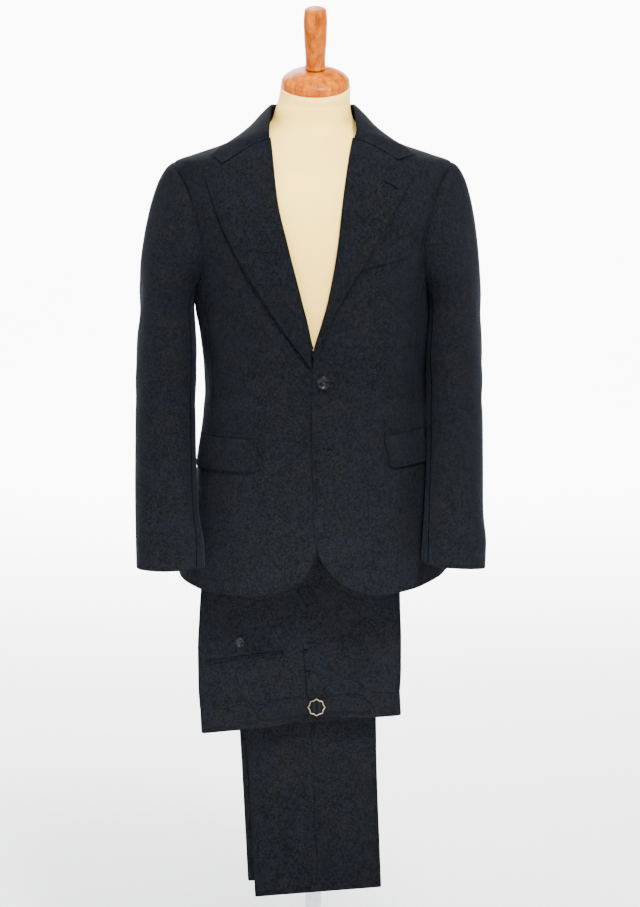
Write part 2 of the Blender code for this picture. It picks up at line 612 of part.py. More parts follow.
def lapel(side, look, collection):
    table = np.array(LAPEL_LEFT if side == "left" else LAPEL_RIGHT)
    shares, rises = zip(*LAPEL_RISE)
    edge_table = np.array(EDGE_LEFT if side == "left" else EDGE_RIGHT)
    outer, inner = [], []
    for row, (roll_z, edge_x, edge_z) in enumerate(table):
        roll_x = np.interp(roll_z, edge_table[:, 1], edge_table[:, 0])
        width = math.hypot(edge_x - roll_x, edge_z - roll_z)
        narrow = min(max((edge_x - roll_x) / LAPEL_NARROW, 0.0), 1.0)
        top_row = row == len(table) - 1
        spread = [0.0] + list(np.linspace(min(ROLL_TURN / width, 0.4), 1.0, LAPEL_COLS - 1))
        line_out, line_in = [], []
        for share in spread:
            if top_row:
                x, z = along_gorge(side, (edge_x, edge_z), share)
            else:
                x, z = between((roll_x, roll_z), (edge_x, edge_z), share)
            rise = np.interp(share, shares, rises)
            if share == 0.0:
                x -= ROLL_OVERHANG
                rise = ROLL_TOP_RISE if top_row else LAPEL_RISE[0][1]
            else:
                rise = LAPEL_RISE[-1][1] + (rise - LAPEL_RISE[-1][1]) * narrow
            line_out.append(on_front(side, x, z, rise))
            line_in.append(on_front(side, x, z, rise - CLOTH))
        outer.append(line_out)
        inner.append(line_in)
    return wall("lapel_" + side, mirrored(outer, side), mirrored(inner, side), look, collection)


def along_gorge(side, corner, share):
    """Top edge of a lapel: down the gorge seam to the notch, then out to the lapel's corner."""
    start, notch = GORGE[side]
    if share < NOTCH_SHARE:
        return between(start, notch, share / NOTCH_SHARE)
    return between(notch, corner, (share - NOTCH_SHARE) / (1 - NOTCH_SHARE))


def collar(look, collection):
    """Stand and leaf in one folded strip round the back of the neck."""
    half = np.array(collar_stations("left"))
    other = mirrored(collar_stations("right"), "right")
    middle = np.concatenate([other, half[::-1][1:]])
    along = np.gradient(middle, axis=0)
    across = np.gradient(middle, axis=1)
    normals = np.cross(along, across)
    normals /= np.linalg.norm(normals, axis=2, keepdims=True)
    return wall("collar", middle + normals * CLOTH / 2, middle - normals * CLOTH / 2, look, collection)


def collar_stations(side):
    """Middle line of the collar's section, from the stand's foot over the fold to the leaf's edge."""
    rows = np.array(COLLAR + (COLLAR_BACK,))
    table = np.column_stack([np.linspace(0, 1, len(rows)), rows])
    start, notch = GORGE[side]
    stations = []
    for step in range(COLLAR_SIDE_STEPS + 1):
        share = step / COLLAR_SIDE_STEPS
        fold_x, fold_y, fold_z, angle, edge_z = smooth(table, share)
        fold = np.array((fold_x, fold_y, fold_z))
        foot_angle, foot_z = smooth(COLLAR_FEET, share)
        foot = on_body(foot_angle, foot_z + COLLAR_FOOT_RISE, -CLOTH / 2)
        edge = on_body(angle, edge_z, LAY_GAP + CLOTH / 2 + COLLAR_EDGE_LIFT)
        leaf = []
        for k in range(1, COLLAR_LEAF_STEPS + 1):
            part = k / COLLAR_LEAF_STEPS
            point = fold + (edge - fold) * part
            bulge = COLLAR_BULGE * math.sin(math.pi * part)
            leaf.append(point + skin_normal(angle, edge_z) * bulge)
        if step == 0:
            leaf = [collar_front(side, edge, k / COLLAR_LEAF_STEPS) for k in range(1, COLLAR_LEAF_STEPS + 1)]
        stand = [foot + (fold - foot) * k / COLLAR_STAND_STEPS for k in range(COLLAR_STAND_STEPS)]
        stations.append(stand + [fold] + leaf)
    stations[-1] = [np.array((0.0, point[1], point[2])) for point in stations[-1]]
    return stations


def collar_front(side, edge, share):
    """Front end of the leaf, which follows the gorge seam and then turns up to the collar's corner."""
    start, notch = GORGE[side]
    if share >= 1.0:
        return edge
    reach = min(share / NOTCH_SHARE, 1.0)
    x, z = between((start[0], start[1] + GORGE_GAP), (notch[0], notch[1] + 2 * GORGE_GAP), reach)
    rise = COLLAR_END_RISE[0] + (COLLAR_END_RISE[1] - COLLAR_END_RISE[0]) * reach
    return on_body(angle_at(x, z), z, rise - CLOTH / 2)


def sleeve_point(side, turn, share):
    """Outer face of a sleeve: share 0 to 1 is the head, 1 to 2 the arm."""
    shift, width, cuff_rise = SLEEVE_SIDES[side]
    cosine, sine = math.cos(2 * math.pi * turn), math.sin(2 * math.pi * turn)

    def ring(z):
        x, y, half_x, half_y, twist = smooth(SLEEVE[::-1], z)
        lean = math.radians(twist)
        east, south = half_x * width * cosine, -half_y * sine
        return np.array((x + shift + east * math.cos(lean) + south * math.sin(lean) * SLEEVE_SKEW,
                         y + south * math.cos(lean) - east * math.sin(lean) * SLEEVE_SKEW, z))

    top, cuff = SLEEVE[0][0], SLEEVE[-1][0]
    if share >= 1:
        z = top + (cuff - top) * (share - 1)
        point = ring(z)
        point[2] += cuff_rise * (1 - cosine) / 2 * (share - 1) ** 3
        return point
    angle, z = armhole(turn, SLEEVE_INSET)
    start = on_body(angle, z, SLEEVE_LIFT)
    end = ring(top)
    length = np.linalg.norm(end - start)
    outward = skin_normal(angle, z)
    inward = unit(np.array((0.0, CENTRE_Y, ARMHOLE_WIDEST)) * (0, 1, 1) + start * (1, 0, 0) - start)
    over_top = max(0.0, cosine) ** 2
    lead = unit(outward + inward * HEAD_LEAN * over_top) * HEAD_REACH * length
    fall = np.array((0.0, 0.0, -1.0)) * HEAD_DROP * length
    t = share
    return (start * (1 + 2 * t) * (1 - t) ** 2 + lead * t * (1 - t) ** 2
            + end * t * t * (3 - 2 * t) + fall * t * t * (t - 1))


def sleeve_normal(side, turn, share):
    step = 0.004
    low, high = max(share - step, 0.0), min(share + step, 2.0)
    down = sleeve_point(side, turn, high) - sleeve_point(side, turn, low)
    round_it = sleeve_point(side, turn + step, share) - sleeve_point(side, turn - step, share)
    return unit(np.cross(down, round_it))


def sleeve_part(name, side, span, cols, look, collection):
    gap = SLEEVE_SEAM_TURN / 2
    turns = np.linspace(span[0] + gap, span[1] - gap, cols)
    shares = list(np.linspace(0, 1, CAP_ROWS)) + list(1 + np.linspace(0, 1, ARM_ROWS)[1:])
    outer = [[sleeve_point(side, turn, share) for turn in turns] for share in shares]
    inner = [[point - CLOTH * sleeve_normal(side, turn, share) for point, turn in zip(row, turns)]
             for row, share in zip(outer, shares)]
    return wall(name, mirrored(outer, side), mirrored(inner, side), look, collection)


def flap(side, look, collection):
    """Hip flap with rounded lower corners, and the jet over it."""
    front_x, front_z, low_x, low_z, rear, rear_z, rear_low_z = FLAPS[side]
    top = ((angle_at(front_x, front_z), front_z), (rear, rear_z))
    bottom = ((angle_at(low_x, low_z), low_z), (rear + FLAP_SKEW, rear_low_z))
    lift = LAY_GAP + FLAP_THICK
    outer, inner = [], []
    for i in range(FLAP_ROWS):
        down = i / (FLAP_ROWS - 1)
        line_out, line_in = [], []
        for j in range(FLAP_COLS):
            along = 0.5 - 0.5 * math.cos(math.pi * j / (FLAP_COLS - 1))
            a, b = between(*top, along), between(*bottom, along)
            angle, z = between(a, b, down)
            corner = FLAP_CORNER_SHARES[min(j, FLAP_COLS - 1 - j, 2)]
            z += FLAP_CORNER * corner * down ** 3
            line_out.append(on_front(side, skin(angle, z)[0], z, lift) if angle < FRONT_SEAM
                            else on_body(angle, z, lift))
            line_in.append(on_front(side, skin(angle, z)[0], z, LAY_GAP) if angle < FRONT_SEAM
                           else on_body(angle, z, LAY_GAP))
        outer.append(line_out)
        inner.append(line_in)
    wall("flap_" + side, mirrored(outer, side), mirrored(inner, side), look, collection)
    outer, inner = [], []
    for rise in (SEAM_GAP, SEAM_GAP + JET_HEIGHT):
        places = [between(*top, j / (FLAP_COLS - 1)) for j in range(FLAP_COLS)]
        outer.append([on_body(angle, z + rise, LAY_GAP + FLAP_THICK) for angle, z in places])
        inner.append([on_body(angle, z + rise, LAY_GAP) for angle, z in places])
    wall("jet_" + side, mirrored(outer, side), mirrored(inner, side), look, collection)


def breast_welt(look, collection):
    low_in, low_out, high_out, high_in = BREAST_WELT
    outer, inner = [], []
    for rise in (0.0, 1.0):
        ends = between(low_in, high_in, rise), between(low_out, high_out, rise)
        places = [between(*ends, j / (BREAST_COLS - 1)) for j in range(BREAST_COLS)]
        outer.append([on_front("left", x, z, BREAST_GAP + WELT_THICK) for x, z in places])
        inner.append([on_front("left", x, z, BREAST_GAP) for x, z in places])
    wall("breast_welt", outer, inner, look, collection)


def button_profile(radius, thick):
    """Half section of a button with a raised rim, down its outer side."""
    return [(radius * across, thick * up) for across, up in BUTTON_SECTION]


def facing(normal):
    """Rotation that turns an object's own Z axis along a direction."""
    return Vector(normal).to_track_quat("Z", "Y").to_euler()


def front_buttons(look, collection):
    x, z = BUTTON_AT
    angle = angle_at(x, z)
    place = on_front("left", x, z, BUTTON_GAP)
    turned("button_upper", button_profile(BUTTON_RADIUS, BUTTON_THICK), 20, look, collection,
           place, facing(skin_normal(angle, z)))
    x, z = LOWER_BUTTON_AT
    place = on_body(angle_at(x, z), z, LOWER_BUTTON_GAP)
    turned("button_lower", button_profile(LOWER_BUTTON_RADIUS, LOWER_BUTTON_THICK), 16, look, collection,
           place, facing(skin_normal(angle_at(x, z), z)))


def bust_inset(angle, z):
    """How far the bust lies inside the jacket's outer face."""
    off_seam = (abs(abs(angle % 360.0 - 180.0) - 90.0) / SHOULDER_BAND) ** 2
    ease = SHOULDER_EASE * (1 - math.exp(-off_seam)) * ramp(*SHOULDER_BAND_Z, z)
    return smooth(BODY, z)[3] + ease * ramp(BUST_TILT_FROM, NECK_SEAM_Z, z)


def bust(look, collection):
    """Limbless form under the jacket, closed, with a flat foot and a tilted top."""
    shares = np.linspace(0, 1, BUST_ROWS)
    heights = np.interp(shares, *zip(*BUST_SPACING))
    rings = []
    for z in heights:
        tilt = ramp(BUST_TILT_FROM, NECK_TOP[2], z)
        ring = []
        for j in range(BUST_RING):
            angle = 360.0 * j / BUST_RING
            x, y, height = on_body(angle, z, -bust_inset(angle, z))
            height = z if z == BUST_BOTTOM else height
            centre = np.array((0.0, CENTRE_Y))
            moved = np.array((x, y)) + tilt * (np.array(NECK_TOP[:2]) - centre)
            height += tilt * (y - CENTRE_Y) * math.tan(NECK_TILT)
            ring.append((moved[0], moved[1], height))
        rings.append(ring)
    return lofted("bust_form", rings, look, collection)


def stand(looks, collection):
    """Neck cap, handle, pole, base and the bar for the trousers."""
    tilt = (NECK_TILT, 0.0, 0.0)
    top = Vector(NECK_TOP)
    axis = Vector((0.0, -math.sin(NECK_TILT), math.cos(NECK_TILT)))
    dome = [(0.0, CAP_HEIGHT)]
    for k in range(1, CAP_STEPS + 1):
        turn = math.radians(90.0 * k / CAP_STEPS)
        dome.append((CAP_RADIUS * math.sin(turn), CAP_RIM + (CAP_HEIGHT - CAP_RIM) * math.cos(turn)))
    dome += [(CAP_RADIUS, CAP_EDGE), (CAP_RADIUS - CAP_EDGE, 0.0), (0.0, 0.0)]
    turned("neck_cap", dome, 28, looks["wood"], collection, top + axis * SEAM_GAP, tilt)
    handle = [(radius, share * HANDLE_LENGTH) for radius, share in HANDLE]
    foot = top + axis * (CAP_HEIGHT + 2 * SEAM_GAP)
    turned("neck_handle", handle, 20, looks["wood"], collection, foot, tilt)
    pole_top = BUST_BOTTOM - SEAM_GAP
    turned("pole", ((0.0, pole_top), (POLE_RADIUS, pole_top), (POLE_RADIUS, BASE_THICK + SEAM_GAP),
                    (0.0, BASE_THICK + SEAM_GAP)), 24, looks["steel"], collection)
    disc = ((0.0, BASE_THICK), (BASE_RADIUS - BASE_EDGE, BASE_THICK), (BASE_RADIUS, BASE_THICK - BASE_EDGE),
            (BASE_RADIUS, 0.0), (0.0, 0.0))
    turned("base", disc, 40, looks["base"], collection)
    clamp = ((POLE_RADIUS + SEAM_GAP, CLAMP_HALF), (CLAMP_RADIUS, CLAMP_HALF), (CLAMP_RADIUS, -CLAMP_HALF),
             (POLE_RADIUS + SEAM_GAP, -CLAMP_HALF), (POLE_RADIUS + SEAM_GAP, CLAMP_HALF))
    turned("bar_clamp", clamp, 24, looks["steel"], collection, (0.0, 0.0, BAR_Z))
    start = CLAMP_RADIUS + SEAM_GAP
    half = [(start, 0.0), (BAR_REACH - BAR_CORNER, 0.0)]
    corners = [(BAR_REACH - BAR_CORNER, -BAR_CORNER, 90.0), (BAR_REACH - BAR_CORNER, BAR_Y + BAR_CORNER, 0.0)]
    for x, y, first in corners:
        for k in range(0, 4):
            turn = math.radians(first - 30.0 * k)
            half.append((x + BAR_CORNER * math.cos(turn), y + BAR_CORNER * math.sin(turn)))
    loop = [(x, y, BAR_Z) for x, y in half] + [(-x, y, BAR_Z) for x, y in reversed(half)]
    wire("trouser_bar", loop, BAR_RADIUS, looks["steel"], collection)


def leg_stations(layer):
    """Sections of one leg, from its hem behind the bar to the waist seam in front.

    Each is the middle point, the direction of the outer face, half thickness, left, seam and right x,
    the share of the inner face that is left, and the slope of the row.
    """
    radius = BAR_RADIUS + BAR_GAP + LEG_HALF
    if layer == "over":
        radius += 2 * LEG_HALF + LEG_LAYER_GAP
    face = 1.0 if layer == "over" else -1.0
    stations = []
    hem = LEG_HEM[layer]
    for share in BACK_DROPS[::-1]:
        drop = (BAR_Z - hem) * share
        left, right = smooth(LEG_EDGES, -drop)
        shift = LEG_SHIFT[layer] * ramp(0.0, LEG_SHIFT_DROP, drop)
        slope = LEG_SLANT[layer] * ramp(LEG_SLANT_FROM, 1.0, share)
        stations.append(((BAR_Y + radius, BAR_Z - drop), (1.0, 0.0), LEG_HALF, left + shift,
                         (left + right) / 2 + shift, right + shift, 1.0, slope))
    for step in range(1, ARC_STEPS):
        turn = math.pi * step / ARC_STEPS
        normal = (math.cos(turn), math.sin(turn))
        left, right = smooth(LEG_EDGES, 0.0)
        stations.append(((BAR_Y + radius * normal[0], BAR_Z + radius * normal[1]), normal, LEG_HALF,
                         left, (left + right) / 2, right, 1.0, 0.0))
    seat_half = SEAT_HALF / 2 - SEAM_GAP / 2
    seat_y = SEAT_Y - face * (SEAT_HALF / 2 + SEAM_GAP / 2)
    for drop in (0.0,) + FRONT_DROPS:
        left, right = smooth(LEG_EDGES, drop)
        ease = ramp(0.0, BAR_Z - SEAT[-1][0], drop)
        y = BAR_Y - radius + (seat_y - BAR_Y + radius) * ease
        stations.append(((y, BAR_Z - drop), (-1.0, 0.0), LEG_HALF + (seat_half - LEG_HALF) * ease,
                         left, (left + right) / 2, right, 1.0, 0.0))
    for z, left, seam, right, share in SEAT[::-1]:
        slope = SEAT_SLOPE * ramp(SEAT[-1][0], SEAT[0][0], z)
        stations.append(((seat_y, z), (-1.0, 0.0), seat_half, left, seam, right, share, slope))
    return stations, face


def leg_panel(name, layer, part, look, collection):
    """One trouser panel, from hem to waist seam, folded along its crease.

    It starts at the outer seam, runs to the crease and comes back to the inner seam.
    """
    stations, face = leg_stations(layer)
    sign = 1.0 if part == "front" else -1.0
    outer, inner = [], []
    for (y, z), (ny, nz), half, left, seam, right, share, slope in stations:
        start = seam + sign * SEAM_GAP / 2
        crease = (right if part == "front" else left) - sign * half
        rows = []
        for depth in (half, half - LEG_WALL):
            line = [(start + (crease - start) * k / FACE_STEPS, depth) for k in range(FACE_STEPS + 1)]
            for k in range(1, FOLD_STEPS):
                turn = math.pi * k / FOLD_STEPS
                line.append((crease + sign * depth * math.sin(turn), depth * math.cos(turn)))
            back_to = crease + (start - crease) * share
            line += [(crease + (back_to - crease) * k / RETURN_STEPS, -depth) for k in range(RETURN_STEPS + 1)]
            rows.append([(x, y + ny * depth_now * face, z + nz * depth_now * face + slope * (x - seam))
                         for x, depth_now in line])
        outer.append(rows[0])
        inner.append(rows[1])
    return wall(name, outer, inner, look, collection)


def waistband(name, face, look, collection):
    """Half of the waistband, from centre back to centre front; face is -1 for the near one."""
    seam_z, left, seam, right, _ = SEAT[0]
    outer, inner = [], []
    half = SEAT_HALF - SEAM_GAP / 2
    for i in range(BAND_ROWS):
        down = i / (BAND_ROWS - 1)
        line_out, line_in = [], []
        for depth, line in ((half, line_out), (half - BAND_WALL, line_in)):
            low, high = left + half, right - half
            places = [(low - depth * math.cos(turn), depth * math.sin(turn)) for turn in BAND_TURNS]
            places += [(low + (high - low) * k / BAND_FACE_STEPS, depth) for k in range(BAND_FACE_STEPS + 1)]
            places += [(high + depth * math.cos(turn), depth * math.sin(turn)) for turn in BAND_TURNS[::-1]]
            for x, out in places:
                z = seam_z - SEAM_GAP - down * BAND_HEIGHT + SEAT_SLOPE * (x - seam)
                z += band_pull(face, x) * down
                line.append((x + BAND_LEAN * down, SEAT_Y + face * (out + SEAM_GAP / 2), z))
        outer.append(line_out)
        inner.append(line_in)
    return wall(name, outer, inner, look, collection)


def band_pull(face, x):
    return BAND_PULL * (face < 0) * math.exp(-((x - BUCKLE_AT[0]) / BAND_PULL_SPREAD) ** 2)


def straps(face, label, looks, collection):
    """The two straps of a side adjuster and their buckle."""
    surface = SEAT_Y + face * SEAT_HALF
    for side, (start, end, start_z, end_z, half) in STRAPS.items():
        outer, inner = [], []
        for row in (-1.0, 0.0, 1.0):
            line_out, line_in = [], []
            for k in range(STRAP_STEPS + 1):
                share = k / STRAP_STEPS
                point = max(0.0, share - STRAP_POINT_FROM) / (1 - STRAP_POINT_FROM)
                reach = half * (STRAP_NECK + (1 - STRAP_NECK) * ramp(0.0, STRAP_NECK_END, share))
                reach *= 1.0 - point * (1 - STRAP_POINT_WIDTH)
                x = start + (end - start) * share * (STRAP_SHOULDER if point > 0.0 and row != 0.0 else 1.0)
                z = start_z + (end_z - start_z) * share + row * reach + STRAP_ARCH * math.sin(math.pi * share)
                line_out.append((x, surface + face * (STRAP_LIFT + STRAP_THICK), z))
                line_in.append((x, surface + face * STRAP_LIFT, z))
            outer.append(line_out)
            inner.append(line_in)
        wall("strap_%s_%s" % (side, label), outer, inner, looks["cloth"], collection)
    buckle(surface + face * (STRAP_LIFT + STRAP_THICK + BUCKLE_THICK / 2 + SEAM_GAP), label,
           looks["brass"], collection)


def buckle(y, label, look, collection):
    """Scalloped ring with two upright bars across it."""
    curve = bpy.data.curves.new("buckle_" + label, "CURVE")
    curve.dimensions = "2D"
    curve.fill_mode = "BOTH"
    curve.extrude = BUCKLE_THICK / 2
    count = BUCKLE_LOBES * 6
    rim = []
    for k in range(count):
        turn = 2 * math.pi * k / count
        radius = BUCKLE_RADIUS * (1.0 - BUCKLE_SCALLOP * (1 - abs(math.cos(turn * BUCKLE_LOBES / 2))))
        rim.append((radius * math.cos(turn), radius * math.sin(turn)))
    outlines = [rim]
    hole, bar, half_bar = BUCKLE_RADIUS * np.array((BUCKLE_HOLE, BUCKLE_BAR, BUCKLE_HALF_BAR))
    for low, high in ((-hole, -bar - half_bar), (-bar + half_bar, bar - half_bar), (bar + half_bar, hole)):
        xs = np.linspace(low, high, 5)
        upper = [(x, math.sqrt(max(hole * hole - x * x, 0.0))) for x in xs]
        lower = [(x, -y_up) for x, y_up in reversed(upper)]
        outline = [point for i, point in enumerate(upper + lower)
                   if i == 0 or math.dist(point, (upper + lower)[i - 1]) > BUCKLE_NEAREST]
        if math.dist(outline[0], outline[-1]) < BUCKLE_NEAREST:
            outline.pop()
        outlines.append(outline)
    for outline in outlines:
        spline = curve.splines.new("POLY")
        spline.points.add(len(outline) - 1)
        for point, (x, z) in zip(spline.points, outline):
            point.co = (x, z, 0.0, 1.0)
        spline.use_cyclic_u = True
    curve.materials.append(look)
    piece = bpy.data.objects.new("buckle_" + label, curve)
    piece.location = (BUCKLE_AT[0], y, BUCKLE_AT[1])
    piece.rotation_euler = (math.radians(90.0), 0.0, 0.0)
    collection.objects.link(piece)


def back_pocket(face, label, looks, collection):
    """Jet and button of a back pocket on the seat."""
    surface = SEAT_Y + face * SEAT_HALF
    (x0, z0), (x1, z1) = POCKET
    outer, inner = [], []
    for rise in (-POCKET_JET, 0.0):
        ends = ((x0 + POCKET_END, z0 + rise), (x1, z1 + rise))
        places = [between(*ends, k / 4) for k in range(5)]
        outer.append([(x, surface + face * (POCKET_GAP + POCKET_THICK), z) for x, z in places])
        inner.append([(x, surface + face * POCKET_GAP, z) for x, z in places])
    wall("pocket_jet_" + label, outer, inner, looks["cloth"], collection)
    x, z = POCKET_BUTTON_AT
    turned("pocket_button_" + label, button_profile(POCKET_BUTTON_RADIUS, POCKET_BUTTON_THICK), 16,
           looks["button"], collection, (x, surface + face * POCKET_GAP, z), facing((0.0, face, 0.0)))


def material(name, colour, roughness, metallic=0.0):
    look = bpy.data.materials.new(name)
    look.use_nodes = True
    shader = look.node_tree.nodes["Principled BSDF"]
    shader.inputs["Base Color"].default_value = (*colour, 1.0)
    shader.inputs["Roughness"].default_value = roughness
    shader.inputs["Metallic"].default_value = metallic
    return look


def build():
    for thing in list(bpy.data.objects):
        bpy.data.objects.remove(thing, do_unlink=True)
    collection = bpy.data.collections.new("suit on dress form stand")
    bpy.context.scene.collection.children.link(collection)
    looks = {
        "cloth": material("navy wool", (0.017, 0.020, 0.030), 0.85),
        "cotton": material("cream cotton", (0.62, 0.55, 0.42), 0.90),
        "wood": material("honey wood", (0.45, 0.19, 0.055), 0.35),
        "steel": material("brushed steel", (0.55, 0.55, 0.56), 0.35, 1.0),
        "base": material("painted steel", (0.05, 0.05, 0.055), 0.45),
        "button": material("dark horn", (0.030, 0.028, 0.028), 0.30),
        "brass": material("brass", (0.72, 0.50, 0.20), 0.28, 1.0),
    }
    bust(looks["cotton"], collection)
    stand(looks, collection)
    for side in ("left", "right"):
        front(side, looks["cloth"], collection)
        side_panel(side, looks["cloth"], collection)
        back(side, looks["cloth"], collection)
        lapel(side, looks["cloth"], collection)
        sleeve_part("top_sleeve_" + side, side, TOP_SLEEVE, TOP_SLEEVE_COLS, looks["cloth"], collection)
        sleeve_part("under_sleeve_" + side, side, UNDER_SLEEVE, UNDER_SLEEVE_COLS, looks["cloth"], collection)
        flap(side, looks["cloth"], collection)
    collar(looks["cloth"], collection)
    breast_welt(looks["cloth"], collection)
    front_buttons(looks["button"], collection)
    for layer, label in (("over", "near"), ("under", "far")):
        leg_panel("trouser_front_" + label, layer, "front", looks["cloth"], collection)
        leg_panel("trouser_back_" + label, layer, "back", looks["cloth"], collection)
        face = -1.0 if label == "near" else 1.0
        waistband("waistband_" + label, face, looks["cloth"], collection)
        back_pocket(face, label, looks, collection)
        straps(face, label, looks, collection)


build()
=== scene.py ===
"""The looks of a two-button suit on a tailor's bust form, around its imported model.

Metres, +Z up. The suit faces -Y, so +X is the wearer's left. The cloth pieces lie on the same surfaces
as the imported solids: the tables and surface functions below are the model's own, read at finer steps.
"""

import math

import bmesh
import bpy
import numpy as np
from mathutils import Matrix, Vector


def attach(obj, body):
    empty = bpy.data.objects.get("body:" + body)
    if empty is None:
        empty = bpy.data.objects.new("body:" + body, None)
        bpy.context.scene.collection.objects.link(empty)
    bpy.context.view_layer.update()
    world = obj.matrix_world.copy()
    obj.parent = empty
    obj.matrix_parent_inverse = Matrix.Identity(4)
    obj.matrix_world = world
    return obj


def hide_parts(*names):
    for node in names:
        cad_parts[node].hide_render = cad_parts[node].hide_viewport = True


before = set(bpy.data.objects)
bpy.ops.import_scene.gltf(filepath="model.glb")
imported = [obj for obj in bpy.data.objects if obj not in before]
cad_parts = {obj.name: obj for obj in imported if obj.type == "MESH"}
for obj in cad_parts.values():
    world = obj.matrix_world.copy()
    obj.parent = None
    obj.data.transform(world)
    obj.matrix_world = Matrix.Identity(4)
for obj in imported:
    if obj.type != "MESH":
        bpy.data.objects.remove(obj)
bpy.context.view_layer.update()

MM = 0.001
SIGN = {"left": 1.0, "right": -1.0}

# Surfaces of the jacket, as in the model.
CLOTH = 2.0 * MM
SEAM_GAP = 0.3 * MM
LAY_GAP = 1.3 * MM
CENTRE_Y = -30 * MM
# Columns: height, half width, depth in front, depth behind, how far the bust lies inside.
BODY = np.array([
    (0.690, 0.2120, 0.125, 0.122, 0.0140),
    (0.730, 0.2060, 0.125, 0.123, 0.0140),
    (0.800, 0.1905, 0.124, 0.122, 0.0140),
    (0.860, 0.1800, 0.123, 0.118, 0.0140),
    (0.900, 0.1775, 0.122, 0.114, 0.0140),
    (0.950, 0.1705, 0.120, 0.107, 0.0140),
    (1.000, 0.1650, 0.119, 0.101, 0.0140),
    (1.040, 0.1665, 0.120, 0.100, 0.0120),
    (1.080, 0.1710, 0.123, 0.102, 0.0110),
    (1.150, 0.1790, 0.127, 0.108, 0.0090),
    (1.210, 0.1960, 0.128, 0.112, 0.0070),
    (1.260, 0.2100, 0.124, 0.111, 0.0055),
    (1.310, 0.2165, 0.111, 0.106, 0.0040),
    (1.335, 0.2160, 0.101, 0.100, 0.0029),
    (1.349, 0.2090, 0.096, 0.096, 0.0026),
    (1.360, 0.1800, 0.091, 0.092, 0.0026),
    (1.3735, 0.1400, 0.085, 0.087, 0.0028),
    (1.386, 0.1110, 0.080, 0.083, 0.0034),
    (1.396, 0.0925, 0.074, 0.078, 0.0048),
    (1.404, 0.0760, 0.068, 0.071, 0.0050),
    (1.414, 0.0640, 0.062, 0.062, 0.0030),
    (1.428, 0.0570, 0.058, 0.056, 0.0000),
    (1.450, 0.0535, 0.054, 0.052, 0.0000),
    (1.480, 0.0520, 0.053, 0.051, 0.0000),
])
ROUNDNESS = 2.08
SHOULDER_EASE, SHOULDER_BAND, SHOULDER_BAND_Z = 5.0 * MM, 13.0, (1.300, 1.345)
SIDE_EASE = np.array([
    (0.690, 16.5 * MM), (0.800, 13.0 * MM), (0.950, 13.0 * MM), (1.030, 12.0 * MM), (1.080, 6.5 * MM),
    (1.122, 0.0), (1.400, 0.0),
])
SIDE_EASE_ANGLES = (76.0, 102.0, 125.0, 158.0)
ARMHOLE_TOP, ARMHOLE_WIDEST, ARMHOLE_BOTTOM = 1.3475, 1.236, 1.150
ARMHOLE_FRONT, ARMHOLE_BACK = 0.073, 0.079
FRONT_SEAM, BACK_SEAM = 66.0, 117.0
NECK_SEAM_Z = 1.402
# Front edge of each front. Columns: x towards its own side, height.
EDGES = {
    "left": np.array([
        (0.0390, 0.7215), (0.0215, 0.7400), (0.0100, 0.7590), (0.0045, 0.7800), (0.0010, 0.8300),
        (-0.0005, 0.8900), (-0.0010, 0.9500), (-0.0010, 1.0100), (-0.0005, 1.0450), (0.0060, 1.0790),
        (0.0160, 1.1120), (0.0255, 1.1466), (0.0390, 1.2204), (0.0475, 1.2937), (0.0540, 1.3400),
        (0.0590, 1.3700),
    ]),
    "right": np.array([
        (0.0200, 0.7190), (0.0080, 0.7350), (-0.0010, 0.7560), (-0.0095, 0.7800), (-0.0200, 0.8300),
        (-0.0290, 0.8900), (-0.0330, 0.9500), (-0.0340, 1.0100), (-0.0200, 1.0450), (0.0010, 1.0730),
        (0.0100, 1.1120), (0.0188, 1.1466), (0.0375, 1.2204), (0.0545, 1.2937), (0.0600, 1.3400),
        (0.0625, 1.3700),
    ]),
}
SIDE_HEIGHTS = (
    0.7130, 0.7330, 0.7560, 0.7800, 0.8300, 0.8900, 0.9450, 0.9950, 1.0300, 1.0600,
    1.0900, 1.1200, 1.1650, 1.2150, 1.2600, 1.2950,
)
CORNER_ROW = 12
# Columns: angle on the neck, its height, height on the armhole.
NECK_TO_ARMHOLE = np.array([
    (40.0, 1.3850, 1.3170), (57.0, 1.3930, 1.3290), (70.0, 1.3985, 1.3385), (80.0, 1.4010, 1.3445),
    (90.0, NECK_SEAM_Z, ARMHOLE_TOP),
])
HEM = ((0.0, 0.7000), (20.0, 0.6980), (45.0, 0.7000), (66.0, 0.7095), (90.0, 0.7190), (117.0, 0.7180),
       (150.0, 0.7120), (180.0, 0.7100))
HEM_RISE = {"left": 8.0 * MM, "right": 0.0}
HEM_RISE_FROM, HEM_RISE_FULL, HEM_RISE_GONE = 22.0, 60.0, 170.0
HEM_CURVE = 0.35
HEM_FADE_ROWS = 2.0           # rows above the hem over which its curve straightens
LAP_LIFT = 3.0 * MM
LAP_ENDS, LAP_TOP = (0.040, 0.085), (1.080, 1.200)
LAP_BULGE, LAP_BULGE_Z = 2.6 * MM, (0.830, 0.880, 0.960, 1.010)
LOWER_BUTTON_AT, LOWER_BUTTON_RADIUS, LOWER_BUTTON_THICK = (0.0150, 0.9210), 8.0 * MM, 2.2 * MM
LOWER_BUTTON_GAP = 0.45 * MM
VENT = np.array([
    (0.690, 6.0, 4.0 * MM), (0.891, 6.0, 4.0 * MM), (0.944, 0.0, 3.0 * MM), (0.994, 0.0, 0.0),
    (1.400, 0.0, 0.0),
])
VENT_LIFT_SPAN = 14.0
